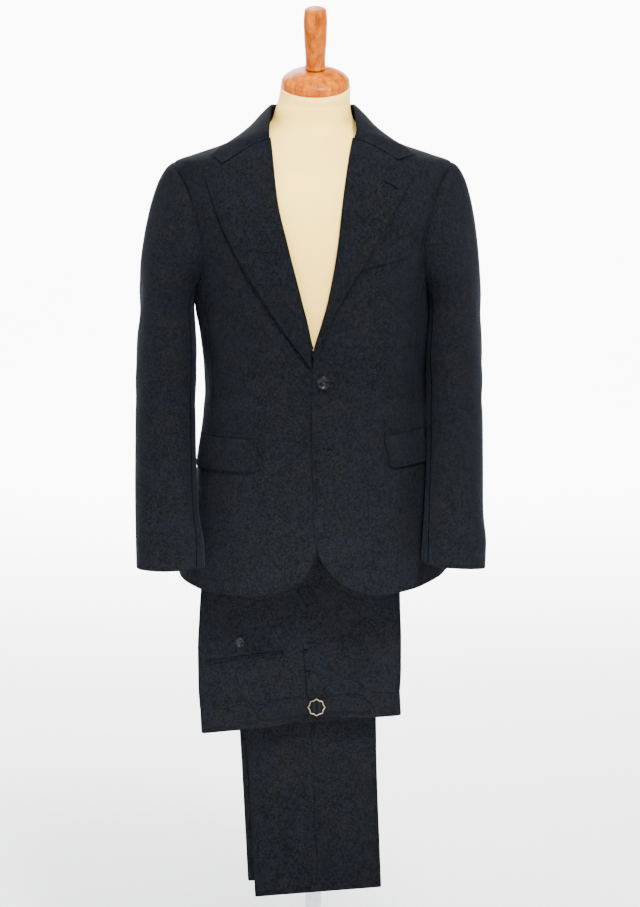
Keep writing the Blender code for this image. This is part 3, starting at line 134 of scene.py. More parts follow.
# Columns: angle at the centre seam or the neck, height there, height on the armhole.
BACK_TOP = np.array([
    (180.0, 1.2250, 1.2050), (180.0, 1.2700, 1.2350), (180.0, 1.3150, 1.2620), (180.0, 1.3620, 1.2850),
    (180.0, NECK_SEAM_Z, 1.3020), (150.0, NECK_SEAM_Z, 1.3180), (125.0, NECK_SEAM_Z, 1.3320),
    (110.0, NECK_SEAM_Z, 1.3410), (99.0, NECK_SEAM_Z, 1.3455), (90.0, NECK_SEAM_Z, ARMHOLE_TOP),
])
SEAM_ANGLE, CENTRE_SEAM_ANGLE, SHOULDER_ANGLE = 0.07, 0.08, 0.15
# Columns: height on the roll line, x and height on the edge.
LAPELS = {
    "left": np.array([
        (1.0640, 0.0010, 1.0440), (1.0930, 0.0130, 1.0800), (1.1120, 0.0255, 1.1120),
        (1.1466, 0.0490, 1.1540), (1.1850, 0.0735, 1.1945), (1.2204, 0.0960, 1.2350),
        (1.2560, 0.1150, 1.2680), (1.2937, 0.1310, 1.2950), (1.3400, 0.1445, 1.3200),
        (1.3830, 0.1494, 1.3315),
    ]),
    "right": np.array([
        (1.0745, 0.0040, 1.0460), (1.0930, 0.0235, 1.0740), (1.1120, 0.0440, 1.1010),
        (1.1466, 0.0660, 1.1340), (1.1850, 0.0870, 1.1660), (1.2204, 0.1070, 1.2030),
        (1.2560, 0.1240, 1.2350), (1.2937, 0.1400, 1.2720), (1.3400, 0.1545, 1.3120),
        (1.3830, 0.1586, 1.3254),
    ]),
}
LAPEL_RISE = ((0.0, 2.4 * MM), (0.04, 5.6 * MM), (0.25, 6.8 * MM), (0.6, 5.4 * MM), (1.0, 4.8 * MM))
ROLL_OVERHANG, ROLL_TURN, ROLL_TOP_RISE, LAPEL_NARROW = 2.9 * MM, 4.5 * MM, 5.0 * MM, 20.0 * MM
ROLL_STEPS = 7                # columns round the fold of a lapel
NOTCH_FADE_ROWS = 1.6         # rows below the gorge over which the notch's corner straightens
# Columns: fold x, y, height; edge as angle on the body and height.
COLLAR = (
    (0.0640, -0.1090, 1.3885, 53.0, 1.3570),
    (0.0630, -0.0930, 1.4030, 64.0, 1.3720),
    (0.0620, -0.0660, 1.4225, 78.0, 1.3870),
    (0.0620, -0.0330, 1.4350, 91.0, 1.3945),
    (0.0570, -0.0030, 1.4370, 112.0, 1.3920),
    (0.0400, 0.0220, 1.4365, 140.0, 1.3870),
    (0.0200, 0.0330, 1.4360, 160.0, 1.3860),
    (0.0000, 0.0360, 1.4360, 180.0, 1.3855),
)
# Foot of the collar's stand. Columns: share from the front end to centre back, angle, height.
COLLAR_FEET = ((0.0, 36.0, 1.3805), (0.17, 55.0, 1.3925), (0.36, 78.0, 1.4000), (0.5, 95.0, NECK_SEAM_Z),
               (1.0, 180.0, NECK_SEAM_Z))
NOTCH_SHARE = 0.75
GORGE = {"left": ((0.0610, 1.3830), (0.1255, 1.3492)), "right": ((0.0645, 1.3830), (0.1328, 1.3436))}
GORGE_GAP, COLLAR_FOOT_RISE, COLLAR_EDGE_LIFT, COLLAR_BULGE = 0.5 * MM, 2.8 * MM, 1.6 * MM, 1.2 * MM
COLLAR_END_RISE = (7.5 * MM, 5.6 * MM)
COLLAR_SIDE_STEPS, COLLAR_STAND_STEPS, COLLAR_LEAF_STEPS = 13, 2, 4
COLLAR_CRISP = 0.014          # length of the collar's front ends over which their corners stay sharp
COLLAR_START = (-1.5 * MM, -2.5 * MM)  # of its fold against the top of the lapel's fold, x and height
# Columns: height, centre x, centre y, half width, half depth, turn in degrees.
SLEEVE = np.array([
    (0.742, 0.2165, -0.138, 0.0475, 0.0430, 5.0),
    (0.790, 0.2195, -0.116, 0.0470, 0.0460, 8.0),
    (0.850, 0.2225, -0.091, 0.0465, 0.0500, 12.0),
    (0.920, 0.2245, -0.067, 0.0455, 0.0540, 14.0),
    (0.990, 0.2250, -0.050, 0.0450, 0.0580, 14.0),
    (1.060, 0.2235, -0.040, 0.0440, 0.0610, 12.0),
    (1.128, 0.2245, -0.036, 0.0415, 0.0640, 10.0),
])
# Columns: shift along x, width scale, rise of the cuff's inner side.
SLEEVE_SIDES = {"left": (-0.0080, 0.925, 0.010), "right": (0.0, 1.0, 0.000)}
SLEEVE_SEAM_TURN, SLEEVE_INSET, SLEEVE_LIFT = 0.0014, 0.3 * MM, -1.6 * MM
SLEEVE_SPANS = {"top_sleeve": (-0.24, 0.39), "under_sleeve": (0.39, 0.76)}
HEAD_REACH, HEAD_DROP, HEAD_LEAN, SLEEVE_SKEW = 0.44, 1.1, 0.8, 0.5
# Columns: front top x, z, front bottom x, z, rear angle, rear top z, rear bottom z.
FLAPS = {
    "left": (0.1070, 0.9400, 0.1150, 0.8905, 73.5, 0.9450, 0.8955),
    "right": (0.0820, 0.9356, 0.0850, 0.8845, 79.0, 0.9345, 0.8865),
}
FLAP_CORNER, FLAP_THICK, JET_HEIGHT, FLAP_SKEW = 9.0 * MM, 1.6 * MM, 5.0 * MM, 0.5
JET_WALL = 0.6 * MM           # one layer of a jet, which is folded lengthwise
BREAST_WELT = np.array([(0.0700, 1.1900), (0.1430, 1.2070), (0.1535, 1.2430), (0.0790, 1.2170)])
BREAST_GAP, WELT_THICK = 0.8 * MM, 1.3 * MM
BUTTON_AT, BUTTON_RADIUS, BUTTON_THICK, BUTTON_GAP = (0.0157, 1.0226), 10.0 * MM, 3.6 * MM, 0.3 * MM

# The trousers, as in the model.
BAR_Y, BAR_Z, BAR_RADIUS, BAR_GAP = -0.045, 0.860, 6.0 * MM, 0.8 * MM
LEG_EDGES = np.array([
    (-0.660, -0.0905, 0.1072), (-0.530, -0.0965, 0.1030), (-0.400, -0.1035, 0.0985),
    (-0.200, -0.1180, 0.0970), (0.000, -0.1330, 0.1020), (0.040, -0.1370, 0.1050),
    (0.100, -0.1560, 0.1220), (0.160, -0.1680, 0.1330),
])
LEG_WALL, LEG_LAYER_GAP, LEG_HALF = 1.2 * MM, 0.6 * MM, 3.0 * MM
LEG_SHIFT = {"under": 0.0, "over": -0.0105}
LEG_SHIFT_DROP = 0.12
LEG_HEM = {"under": 0.2105, "over": 0.2270}
LEG_SLANT = {"under": 0.08, "over": 0.004}
BACK_DROPS = (0.0, 0.14, 0.32, 0.62, 1.0)
FRONT_DROPS = (0.0, 0.035, 0.075)
ARC_STEPS = 5
SEAT_Y, SEAT_HALF, SEAT_SLOPE = -0.0600, 8.0 * MM, 0.093
# Columns: height at the side seam, left x, side seam x, right x, share of the inner leg that is left.
SEAT = np.array([
    (0.5240, -0.1748, -0.0085, 0.1345, 0.02), (0.5600, -0.1770, -0.0115, 0.1360, 0.02),
    (0.6100, -0.1775, -0.0155, 0.1360, 0.02), (0.6600, -0.1750, -0.0195, 0.1345, 0.06),
    (0.7050, -0.1715, -0.0225, 0.1335, 0.35), (0.7450, -0.1670, -0.0250, 0.1320, 1.00),
])
BAND_HEIGHT, BAND_WALL, BAND_LEAN = 38.0 * MM, 2.0 * MM, 2.0 * MM
BAND_PULL, BAND_PULL_SPREAD = 8.0 * MM, 0.055
BUCKLE_AT, BUCKLE_RADIUS, BUCKLE_LOBES, BUCKLE_THICK = (0.0055, 0.5125), 13.5 * MM, 8, 2.0 * MM
# Columns: x at the buckle, x at the tip, height of the middle at each, half width.
STRAPS = {"left": (0.0030, -0.0870, 0.5125, 0.5000, 0.0145),
          "right": (0.0080, 0.0900, 0.5125, 0.5140, 0.0140)}
STRAP_THICK, STRAP_LIFT, STRAP_NECK, STRAP_ARCH = 1.5 * MM, 0.6 * MM, 0.70, 5.0 * MM
STRAP_POINT_FROM, STRAP_POINT_WIDTH, STRAP_SHOULDER = 0.86, 0.38, 0.035
POCKET = np.array([(-0.1665, 0.5850), (-0.0480, 0.6006)])
POCKET_JET, POCKET_GAP, POCKET_THICK, POCKET_END = 5.5 * MM, 0.6 * MM, 1.4 * MM, 4.0 * MM
SLIT_DEPTH, SLIT_HALF = 1.0 * MM, 0.75 * MM
POCKET_BUTTON_AT, POCKET_BUTTON_RADIUS, POCKET_BUTTON_THICK = (-0.1120, 0.6140), 7.5 * MM, 2.8 * MM

# The stand, as in the model.
BUST_BOTTOM, BUST_TILT_FROM = 0.975, 1.420
BUST_SPACING = ((0.0, BUST_BOTTOM), (0.45, 1.290), (0.72, 1.380), (1.0, 1.462))
NECK_TILT, NECK_TOP = math.radians(21.0), (0.004, -0.036, 1.462)
CAP_RADIUS, CAP_HEIGHT, CAP_RIM = 51.5 * MM, 27.0 * MM, 8.0 * MM
HANDLE_LENGTH = 95.0 * MM
# Columns: share of the handle from its foot, radius.
HANDLE_SHAPE = ((0.0, 15.2 * MM), (0.14, 15.0 * MM), (0.45, 16.8 * MM), (0.78, 18.0 * MM), (0.94, 16.8 * MM))

# Steps of the cloth meshes, and how their edges round off.
STEP = 4.6 * MM
EDGE_STEPS = (0.0, 0.5 * MM, 1.1 * MM, 2.2 * MM)
EDGE_ROUND, EDGE_REACH = 0.36, 0.9 * MM

# Soft folds. Each lies along a line in the view it is seen from, and its depth fades with the distance
# from that line. Columns: view, x or y and height at each end, half width, depth (a trough is negative).
VIEWS = {"front": (0, 1, -1.0, 0), "back": (0, 1, 1.0, 0), "left": (1, 0, 1.0, 0), "right": (1, 0, -1.0, 0),
         "inside right": (1, 0, 1.0, -1), "inside left": (1, 0, -1.0, 1)}
BODY_FOLDS = [
    ("front", -0.150, 1.245, -0.142, 1.120, 0.016, -2.2 * MM),
    ("front", -0.117, 1.235, -0.098, 1.120, 0.019, 1.5 * MM),
    ("front", -0.062, 1.100, -0.085, 1.040, 0.017, -1.4 * MM),
    ("front", -0.030, 1.045, -0.100, 1.020, 0.008, -1.0 * MM),
    ("front", -0.035, 1.022, -0.115, 0.978, 0.011, 1.1 * MM),
    ("front", 0.035, 1.030, 0.105, 1.052, 0.009, -1.1 * MM),
    ("front", 0.033, 1.014, 0.090, 0.985, 0.010, 0.9 * MM),
    ("front", -0.130, 0.985, -0.075, 1.000, 0.014, -1.2 * MM),
    ("front", 0.148, 1.000, 0.100, 0.985, 0.015, -1.3 * MM),
    ("front", 0.152, 1.230, 0.146, 1.110, 0.017, -1.9 * MM),
    ("front", 0.116, 1.165, 0.104, 1.060, 0.020, 1.3 * MM),
    ("front", -0.060, 0.905, -0.048, 0.740, 0.021, -1.5 * MM),
    ("front", -0.108, 0.862, -0.122, 0.735, 0.018, 1.4 * MM),
    ("front", 0.066, 0.880, 0.060, 0.745, 0.020, -1.4 * MM),
    ("front", 0.124, 0.866, 0.138, 0.745, 0.017, 1.4 * MM),
    ("front", 0.006, 0.822, 0.030, 0.814, 0.005, -0.8 * MM),
    ("front", 0.004, 0.806, 0.026, 0.801, 0.005, 0.7 * MM),
    ("front", 0.014, 0.915, 0.040, 0.905, 0.006, -0.9 * MM),
    ("front", 0.014, 0.9205, 0.019, 0.9205, 0.0035, -1.5 * MM),
    ("front", 0.016, 0.918, 0.026, 0.912, 0.0040, -0.8 * MM),
    ("front", -0.2010, 1.332, -0.1830, 1.285, 0.0060, -2.2 * MM),
    ("front", -0.1882, 1.3437, -0.1750, 1.2950, 0.0050, -2.6 * MM),
    ("front", -0.1690, 1.330, -0.1640, 1.280, 0.0090, 1.2 * MM),
    ("front", 0.2000, 1.330, 0.1845, 1.300, 0.0055, -1.8 * MM),
    ("front", 0.120, 0.8916, 0.1351, 0.8463, 0.0065, -1.6 * MM),
    ("left", -0.100, 1.120, -0.060, 1.010, 0.015, -1.8 * MM),
    ("left", -0.030, 1.080, -0.042, 0.985, 0.015, 1.3 * MM),
    ("left", 0.000, 0.930, 0.020, 0.760, 0.020, -1.9 * MM),
    ("left", -0.060, 0.900, -0.075, 0.760, 0.018, 1.6 * MM),
    ("right", -0.095, 1.115, -0.052, 1.005, 0.016, -1.9 * MM),
    ("right", -0.020, 1.085, -0.035, 0.980, 0.014, 1.2 * MM),
    ("right", -0.005, 0.915, 0.012, 0.750, 0.020, -2.0 * MM),
    ("right", -0.068, 0.885, -0.080, 0.745, 0.017, 1.5 * MM),
    ("right", -0.060, 1.150, -0.030, 1.125, 0.025, 4.0 * MM),
    ("left", -0.045, 1.118, -0.010, 1.112, 0.022, 2.5 * MM),
    ("left", -0.045, 0.997, 0.000, 0.995, 0.022, 2.2 * MM),
    ("back", -0.125, 1.255, -0.105, 1.110, 0.018, -2.3 * MM),
    ("back", 0.128, 1.250, 0.100, 1.105, 0.017, -2.1 * MM),
    ("back", -0.085, 1.235, -0.070, 1.090, 0.019, 1.6 * MM),
    ("back", 0.090, 1.220, 0.072, 1.080, 0.018, 1.5 * MM),
    ("back", -0.110, 1.015, -0.040, 1.000, 0.012, -1.7 * MM),
    ("back", 0.115, 1.022, 0.050, 1.002, 0.013, -1.6 * MM),
    ("back", -0.070, 1.040, 0.060, 1.046, 0.011, 1.1 * MM),
    ("back", -0.050, 1.357, 0.055, 1.360, 0.009, -1.2 * MM),
    ("back", -0.075, 0.900, -0.088, 0.740, 0.022, 1.9 * MM),
    ("back", 0.070, 0.910, 0.080, 0.745, 0.023, 1.8 * MM),
    ("back", -0.028, 0.940, -0.034, 0.750, 0.018, -1.4 * MM),
    ("back", 0.030, 0.935, 0.032, 0.752, 0.019, -1.5 * MM),
    ("back", 0.128, 0.880, 0.140, 0.760, 0.017, -1.6 * MM),
    ("back", -0.130, 0.885, -0.143, 0.755, 0.018, -1.5 * MM),
]
SLEEVE_FOLDS = [
    ("front", -0.236, 1.325, -0.220, 1.270, 0.0065, -3.2 * MM),
    ("front", -0.219, 1.338, -0.203, 1.285, 0.0055, 2.3 * MM),
    ("front", -0.246, 1.300, -0.232, 1.235, 0.0110, 1.2 * MM),
    ("front", 0.232, 1.322, 0.218, 1.266, 0.0070, -2.9 * MM),
    ("front", 0.215, 1.332, 0.202, 1.290, 0.0055, 1.5 * MM),
    ("front", 0.240, 1.300, 0.228, 1.240, 0.0100, 1.1 * MM),
    ("front", -0.236, 1.180, -0.243, 0.980, 0.0170, 1.6 * MM),
    ("front", -0.212, 1.120, -0.218, 1.010, 0.0120, -1.7 * MM),
    ("front", -0.262, 1.010, -0.215, 0.960, 0.0110, -1.5 * MM),
    ("front", -0.268, 0.950, -0.222, 0.925, 0.0130, 1.3 * MM),
    ("front", -0.240, 0.900, -0.232, 0.780, 0.0160, -1.4 * MM),
    ("front", 0.214, 1.190, 0.212, 1.000, 0.0150, -2.1 * MM),
    ("front", 0.238, 1.200, 0.241, 0.960, 0.0170, 1.7 * MM),
    ("front", 0.208, 0.985, 0.248, 0.945, 0.0110, -1.4 * MM),
    ("front", 0.214, 0.930, 0.210, 0.775, 0.0150, -1.9 * MM),
    ("front", 0.242, 0.910, 0.236, 0.780, 0.0160, 1.4 * MM),
    ("left", -0.095, 1.085, -0.045, 1.020, 0.0140, -0.9 * MM),
    ("left", -0.105, 1.035, -0.050, 0.985, 0.0150, 0.6 * MM),
    ("left", -0.020, 1.150, -0.030, 1.050, 0.0170, -1.4 * MM),
    ("left", -0.110, 0.900, -0.150, 0.790, 0.0150, -1.5 * MM),
    ("right", -0.092, 1.075, -0.040, 1.010, 0.0140, -0.9 * MM),
    ("right", -0.100, 1.025, -0.045, 0.975, 0.0140, 0.6 * MM),
    ("right", -0.140, 0.780, -0.170, 0.730, 0.0380, -7.0 * MM),
    ("right", -0.018, 1.160, -0.032, 1.060, 0.0160, -1.3 * MM),
    ("right", -0.112, 0.905, -0.152, 0.795, 0.0160, -1.4 * MM),
    ("inside right", -0.050, 1.150, -0.030, 1.120, 0.0280, 4.5 * MM),
    ("inside left", -0.045, 1.118, -0.010, 1.112, 0.0220, 1.5 * MM),
    ("inside left", -0.045, 0.997, 0.000, 0.995, 0.0220, 1.5 * MM),
    ("back", 0.235, 1.170, 0.222, 1.060, 0.0140, -1.8 * MM),
    ("back", 0.205, 1.050, 0.255, 1.000, 0.0110, -1.6 * MM),
    ("back", 0.212, 0.985, 0.250, 0.955, 0.0120, 1.4 * MM),
    ("back", -0.238, 1.165, -0.226, 1.050, 0.0140, -1.7 * MM),
    ("back", -0.208, 1.045, -0.258, 1.000, 0.0120, -1.5 * MM),
    ("back", -0.215, 0.980, -0.252, 0.950, 0.0120, 1.3 * MM),
]
SEAT_FOLDS = [
    ("front", -0.0385, 0.684, -0.0310, 0.602, 0.0065, -4.0 * MM),
    ("front", -0.0240, 0.680, -0.0200, 0.615, 0.0055, 1.5 * MM),
    ("front", -0.0310, 0.600, -0.0170, 0.542, 0.0060, -2.8 * MM),
    ("front", 0.0950, 0.668, 0.0650, 0.650, 0.0090, -3.2 * MM),
    ("front", 0.0650, 0.650, 0.0320, 0.624, 0.0090, -2.4 * MM),
    ("front", 0.1050, 0.640, 0.0650, 0.615, 0.0100, 1.6 * MM),
    ("front", 0.1180, 0.620, 0.0720, 0.580, 0.0090, -4.0 * MM),
    ("front", 0.0720, 0.580, 0.0420, 0.540, 0.0090, -3.2 * MM),
    ("front", 0.1080, 0.585, 0.0760, 0.553, 0.0090, 1.5 * MM),
    ("front", -0.1500, 0.655, -0.1200, 0.628, 0.0090, -1.6 * MM),
    ("front", -0.1250, 0.640, -0.0760, 0.632, 0.0090, 1.1 * MM),
    ("front", -0.1631, 0.576, -0.1324, 0.5551, 0.0080, -1.6 * MM),
    ("front", -0.1200, 0.556, -0.0800, 0.566, 0.0080, 1.1 * MM),
    ("front", -0.0936, 0.6613, -0.1044, 0.6255, 0.0080, -1.5 * MM),
    ("front", -0.0700, 0.640, -0.0600, 0.590, 0.0120, 1.3 * MM),
    ("front", -0.0970, 0.544, -0.0507, 0.5786, 0.0080, -1.8 * MM),
    ("back", 0.0835, 0.657, 0.0350, 0.634, 0.0080, -1.5 * MM),
    ("back", 0.1040, 0.602, 0.0500, 0.556, 0.0075, -1.6 * MM),
    ("back", -0.0390, 0.665, -0.0290, 0.595, 0.0060, -1.6 * MM),
    ("back", -0.1480, 0.652, -0.0900, 0.632, 0.0090, -1.2 * MM),
    ("back", -0.1400, 0.570, -0.0700, 0.566, 0.0080, -1.1 * MM),
]
LEG_FOLDS = [
    ("front", -0.040, 0.440, 0.028, 0.410, 0.012, -1.2 * MM),
    ("front", 0.030, 0.330, 0.012, 0.240, 0.010, -1.1 * MM),
    ("front", -0.030, 0.350, -0.042, 0.250, 0.012, 0.9 * MM),
    ("front", 0.070, 0.420, 0.078, 0.300, 0.011, 0.9 * MM),
    ("back", -0.050, 0.600, 0.030, 0.560, 0.013, -1.2 * MM),
    ("back", 0.045, 0.450, 0.020, 0.300, 0.011, -1.1 * MM),
    ("back", -0.060, 0.380, -0.070, 0.260, 0.012, 1.0 * MM),
    ("back", 0.020, 0.780, 0.040, 0.680, 0.012, 1.0 * MM),
]
PUCKER_PITCH, PUCKER_LONG, PUCKER_HALF, PUCKER_DEPTH = 7.8 * MM, 9.0 * MM, 1.9 * MM, -0.75 * MM
PUCKER_Z = (0.570, 0.690)

COTTON_LOOK, WOOL_LOOK = "cream jersey", "navy wool"


def smooth(table, key):
    """Values at key on a curve through the table's rows that never overshoots them."""
    table, key = np.asarray(table, dtype=float), np.asarray(key, dtype=float)
    keys, values = table[:, 0], table[:, 1:]
    spans = np.diff(keys)[:, None]
    slopes = np.diff(values, axis=0) / spans
    before, after = slopes[:-1], slopes[1:]
    same = before * after > 0
    inner = np.where(same, 2.0 * before * after / np.where(same, before + after, 1.0), 0.0)
    tangents = np.vstack([slopes[:1], inner, slopes[-1:]])
    row = np.clip(np.searchsorted(keys, key) - 1, 0, len(keys) - 2)
    span = (keys[row + 1] - keys[row])[..., None]
    t = np.clip((key - keys[row])[..., None] / span, 0.0, 1.0)
    return (values[row] * (1 + 2 * t) * (1 - t) ** 2 + tangents[row] * span * t * (1 - t) ** 2
            + values[row + 1] * t * t * (3 - 2 * t) + tangents[row + 1] * span * t * t * (t - 1))


def by_row(*columns):
    """Table whose first column counts its rows."""
    return np.column_stack([np.arange(len(columns[0])), *columns])


def ramp(start, end, value):
    """0 at start and 1 at end, easing at both; start may be the larger."""
    t = np.clip((value - start) / (end - start), 0.0, 1.0)
    return t * t * (3 - 2 * t)


def between(a, b, share):
    return a + (b - a) * share


def unit(vector):
    return vector / np.linalg.norm(vector, axis=-1, keepdims=True)


def skin(angle, z):
    """Points of the body's envelope at angles from centre front towards +X."""
    angle, z = np.broadcast_arrays(angle, z)
    half, front_depth, back_depth, _ = np.moveaxis(smooth(BODY, z), -1, 0)
    sine, cosine = np.sin(np.radians(angle)), np.cos(np.radians(angle))
    depth = np.where(cosine > 0, front_depth, back_depth)
    power = 2.0 / ROUNDNESS
    return np.stack([half * np.sign(sine) * abs(sine) ** power,
                     CENTRE_Y - depth * np.sign(cosine) * abs(cosine) ** power, z], axis=-1)


def skin_normal(angle, z):
    along = skin(angle + 0.25, z) - skin(angle - 0.25, z)
    up = skin(angle, z + 0.0006) - skin(angle, z - 0.0006)
    return unit(np.cross(along, up))


def on_body(angle, z, lift=0.0):
    return skin(angle, z) + skin_normal(angle, z) * lift


def angle_at(x, z):
    """Angle from centre front where the front of the envelope has this x."""
    share = np.minimum(abs(x) / smooth(BODY, z)[..., 0], 1.0)
    return np.sign(x) * np.degrees(np.arcsin(share ** (ROUNDNESS / 2)))


def angle_at_depth(offset, z):
    """Angle where the envelope lies this far behind its centre plane, or in front if negative."""
    _, front_depth, back_depth, _ = np.moveaxis(smooth(BODY, z), -1, 0)
    depth = np.where(offset < 0, front_depth, back_depth)
    share = np.minimum(abs(offset) / depth, 1.0) ** (ROUNDNESS / 2)
    return np.degrees(np.arccos(-np.sign(offset) * share))


def armhole(turn, inset=0.0):
    """Angle and height on the armhole, at a turn from its top towards the front."""
    cosine, sine = np.cos(2 * np.pi * turn), np.sin(2 * np.pi * turn)
    height = np.where(cosine > 0, ARMHOLE_TOP - ARMHOLE_WIDEST, ARMHOLE_WIDEST - ARMHOLE_BOTTOM) - inset
    reach = np.where(sine > 0, ARMHOLE_FRONT, ARMHOLE_BACK) - inset
    z = ARMHOLE_WIDEST + height * cosine
    return angle_at_depth(-reach * sine, z), z


def armhole_at(z, in_front):
    """Angle of the armhole's front or rear edge at a height."""
    span = np.where(z > ARMHOLE_WIDEST, ARMHOLE_TOP - ARMHOLE_WIDEST, ARMHOLE_WIDEST - ARMHOLE_BOTTOM)
    turn = np.arccos(np.clip((z - ARMHOLE_WIDEST) / span, -1.0, 1.0)) / (2 * np.pi)
    return armhole(turn if in_front else -turn)[0]


def armhole_below(angle):
    """Height of the armhole's lower edge at an angle."""
    angles, heights = armhole(np.linspace(0.25, 0.75, 400))
    return np.interp(angle, angles, heights)


def hem_height(side, angle):
    rise = ramp(HEM_RISE_FROM, HEM_RISE_FULL, angle) * ramp(HEM_RISE_GONE, BACK_SEAM, angle)
    return smooth(HEM, angle)[..., 0] + HEM_RISE[side] * rise


def lap_lift(side, x, z):
    """How far a front stands out from the envelope where the left one laps the right."""
    if side == "right":
        return 0.0 * x
    start, full, still, end = LAP_BULGE_Z
    bulge = LAP_BULGE * ramp(start, full, z) * ramp(end, still, z)
    return (LAP_LIFT + bulge) * ramp(LAP_ENDS[1], LAP_ENDS[0], x) * ramp(LAP_TOP[1], LAP_TOP[0], z)


def side_ease(side, angle, z):
    """How far the jacket stands out from the envelope behind the arm."""
    start, full, still, end = SIDE_EASE_ANGLES
    return ((side == "left") * smooth(SIDE_EASE, z)[..., 0] * ramp(start, full, angle)
            * ramp(end, still, angle))


def relief(folds, place, normal):
    """Depth of the folds at points with these normals."""
    total = np.zeros(place.shape[:-1])
    for view, a0, z0, a1, z1, half, depth in folds:
        axis, towards, way, only = VIEWS[view]
        facing = np.clip(normal[..., towards] * way, 0.0, 1.0) ** 0.5
        if only:
            facing = facing * (place[..., 0] * only > 0)
        spot = np.stack([place[..., axis], place[..., 2]], axis=-1)
        start, run = np.array((a0, z0)), np.array((a1 - a0, z1 - z0))
        share = np.clip((spot - start) @ run / (run @ run), 0.0, 1.0)
        off = np.linalg.norm(spot - start - share[..., None] * run, axis=-1)
        total += depth * facing * np.exp(-(off / half) ** 2)
    return total


def on_jacket(side, angle, z, lift=0.0):
    """Points over the jacket's body and the directions out of it, for one side of the wearer."""
    flip = np.array((SIGN[side], 1.0, 1.0))
    place, normal = skin(angle, z) * flip, skin_normal(angle, z) * flip
    height = lift + relief(BODY_FOLDS, place, normal)
    return place + normal * height[..., None], normal


def on_front(side, x, z, lift):
    """The same over a front, by x towards its own side and height."""
    x, z = np.broadcast_arrays(np.asarray(x, dtype=float), z)
    return on_jacket(side, angle_at(x, z), z, lift + lap_lift(side, x, z))


def near_ends(length, step=STEP):
    """Distances from 0 to length about a step apart, and closer at both ends."""
    ends = np.array(EDGE_STEPS)
    middle = np.linspace(ends[-1], length - ends[-1], max(int(length / step), 2) + 1)[1:-1]
    return np.concatenate([ends, middle, length - ends[::-1]])


def lengths(points, axis):
    """Distance along a grid's rows or columns, from the first one."""
    steps = np.linalg.norm(np.diff(points, axis=axis), axis=-1)
    pad = [(0, 0), (0, 0)]
    pad[axis] = (1, 0)
    return np.pad(np.cumsum(steps, axis=axis), pad)


def even_rows(place, count, step=STEP, share=0.5):
    """Row numbers, from 0 to count, that cut a piece into strips about a step wide."""
    dense = np.linspace(0, count, 60 * count)
    line = place(np.full((len(dense), 1), share), dense[:, None])
    along = lengths(line, 0)[:, 0]
    return np.interp(near_ends(along[-1], step), along, dense)[:, None]


def even_shares(length, step=STEP):
    return (near_ends(length, step) / length)[None, :]


def grid_normals(points, like=None):
    """Directions out of a grid of points, on the side of a given direction."""
    normals = unit(np.cross(np.gradient(points, axis=0), np.gradient(points, axis=1)))
    if like is not None and (normals * like).sum() < 0:
        normals = -normals
    return normals


def finer(grid, cols, row_step, crisp):
    """Coarse grid of points read at more rows and columns, with sharp corners near both ends."""
    along = lengths(grid, 0).mean(axis=1)
    keys = near_ends(along[-1], row_step)
    table = np.column_stack([along, grid.reshape(len(grid), -1)])
    turned = smooth(table, keys).reshape(len(keys), -1, 3).transpose(1, 0, 2)
    flat = turned.reshape(len(turned), -1)
    across = np.arange(len(turned))
    soft = smooth(np.column_stack([across, flat]), cols)
    sharp = np.array([np.interp(cols, across, column) for column in flat.T]).T
    soft, sharp = (g.reshape(len(cols), -1, 3).transpose(1, 0, 2) for g in (soft, sharp))
    near = np.exp(-(np.minimum(keys, along[-1] - keys) / crisp) ** 2)[:, None, None]
    return between(soft, sharp, near)


def mesh_piece(name, vertices, faces, look, replaced=(), uv=None, smooth_angle=None):
    """Mesh that rides with the part, with its material, hiding the nodes it stands for."""
    data = bpy.data.meshes.new(name)
    data.from_pydata([tuple(v) for v in vertices], [], faces)
    data.update()
    if uv is not None:
        layer = data.uv_layers.new(name="Cloth")
        corners = np.empty(len(data.loops), dtype=np.int32)
        data.loops.foreach_get("vertex_index", corners)
        layer.data.foreach_set("uv", uv[corners].astype(np.float32).ravel())
    data.shade_smooth()
    if smooth_angle is not None:
        data.set_sharp_from_angle(angle=math.radians(smooth_angle))
    data.materials.append(look)
    piece = bpy.data.objects.new(name, data)
    bpy.context.scene.collection.objects.link(piece)
    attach(piece, "root")
    if replaced:
        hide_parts(*replaced)
    return piece


def shell(node, points, normals, thick, held, rests_on, look=WOOL_LOOK):
    """Cloth wall under a grid of points, with rounded edges, in place of a node of the model."""
    rows, cols = points.shape[:2]
    across, down = lengths(points, 1), lengths(points, 0)
    edge = np.minimum(np.minimum(across, across[:, -1:] - across), np.minimum(down, down[-1:] - down))
    rounding = (EDGE_ROUND * thick * np.exp(-(edge / EDGE_REACH) ** 2))[..., None]
    outer, inner = points - normals * rounding, points - normals * (thick - rounding)
    index = np.arange(rows * cols).reshape(rows, cols)
    quads = np.stack([index[:-1, :-1], index[:-1, 1:], index[1:, 1:], index[1:, :-1]], axis=-1)
    quads = quads.reshape(-1, 4)
    step_a, step_b = points[0:-1, 1:] - points[0:-1, :-1], points[1:, :-1] - points[:-1, :-1]
    flip = (np.cross(step_a, step_b) * normals[:-1, :-1]).sum() < 0
    rim = np.concatenate([index[0, :-1], index[:-1, -1], index[-1, :0:-1], index[:0:-1, 0]])
    after, count = np.roll(rim, -1), rows * cols
    sides = np.stack([rim, after, after + count, rim + count], axis=-1)[:, ::-1]
    faces = np.concatenate([quads, quads[:, ::-1] + count, sides])
    faces = faces[:, ::-1] if flip else faces
    middle = across[:, across.shape[1] // 2][:, None]
    uv = np.stack([across - middle, down], axis=-1).reshape(-1, 2)
    piece = mesh_piece(node + "_cloth", np.concatenate([outer.reshape(-1, 3), inner.reshape(-1, 3)]),
                       faces.tolist(), LOOKS[look], [node], np.concatenate([uv, uv]))
    return {"piece": piece, "points": outer, "normals": normals}


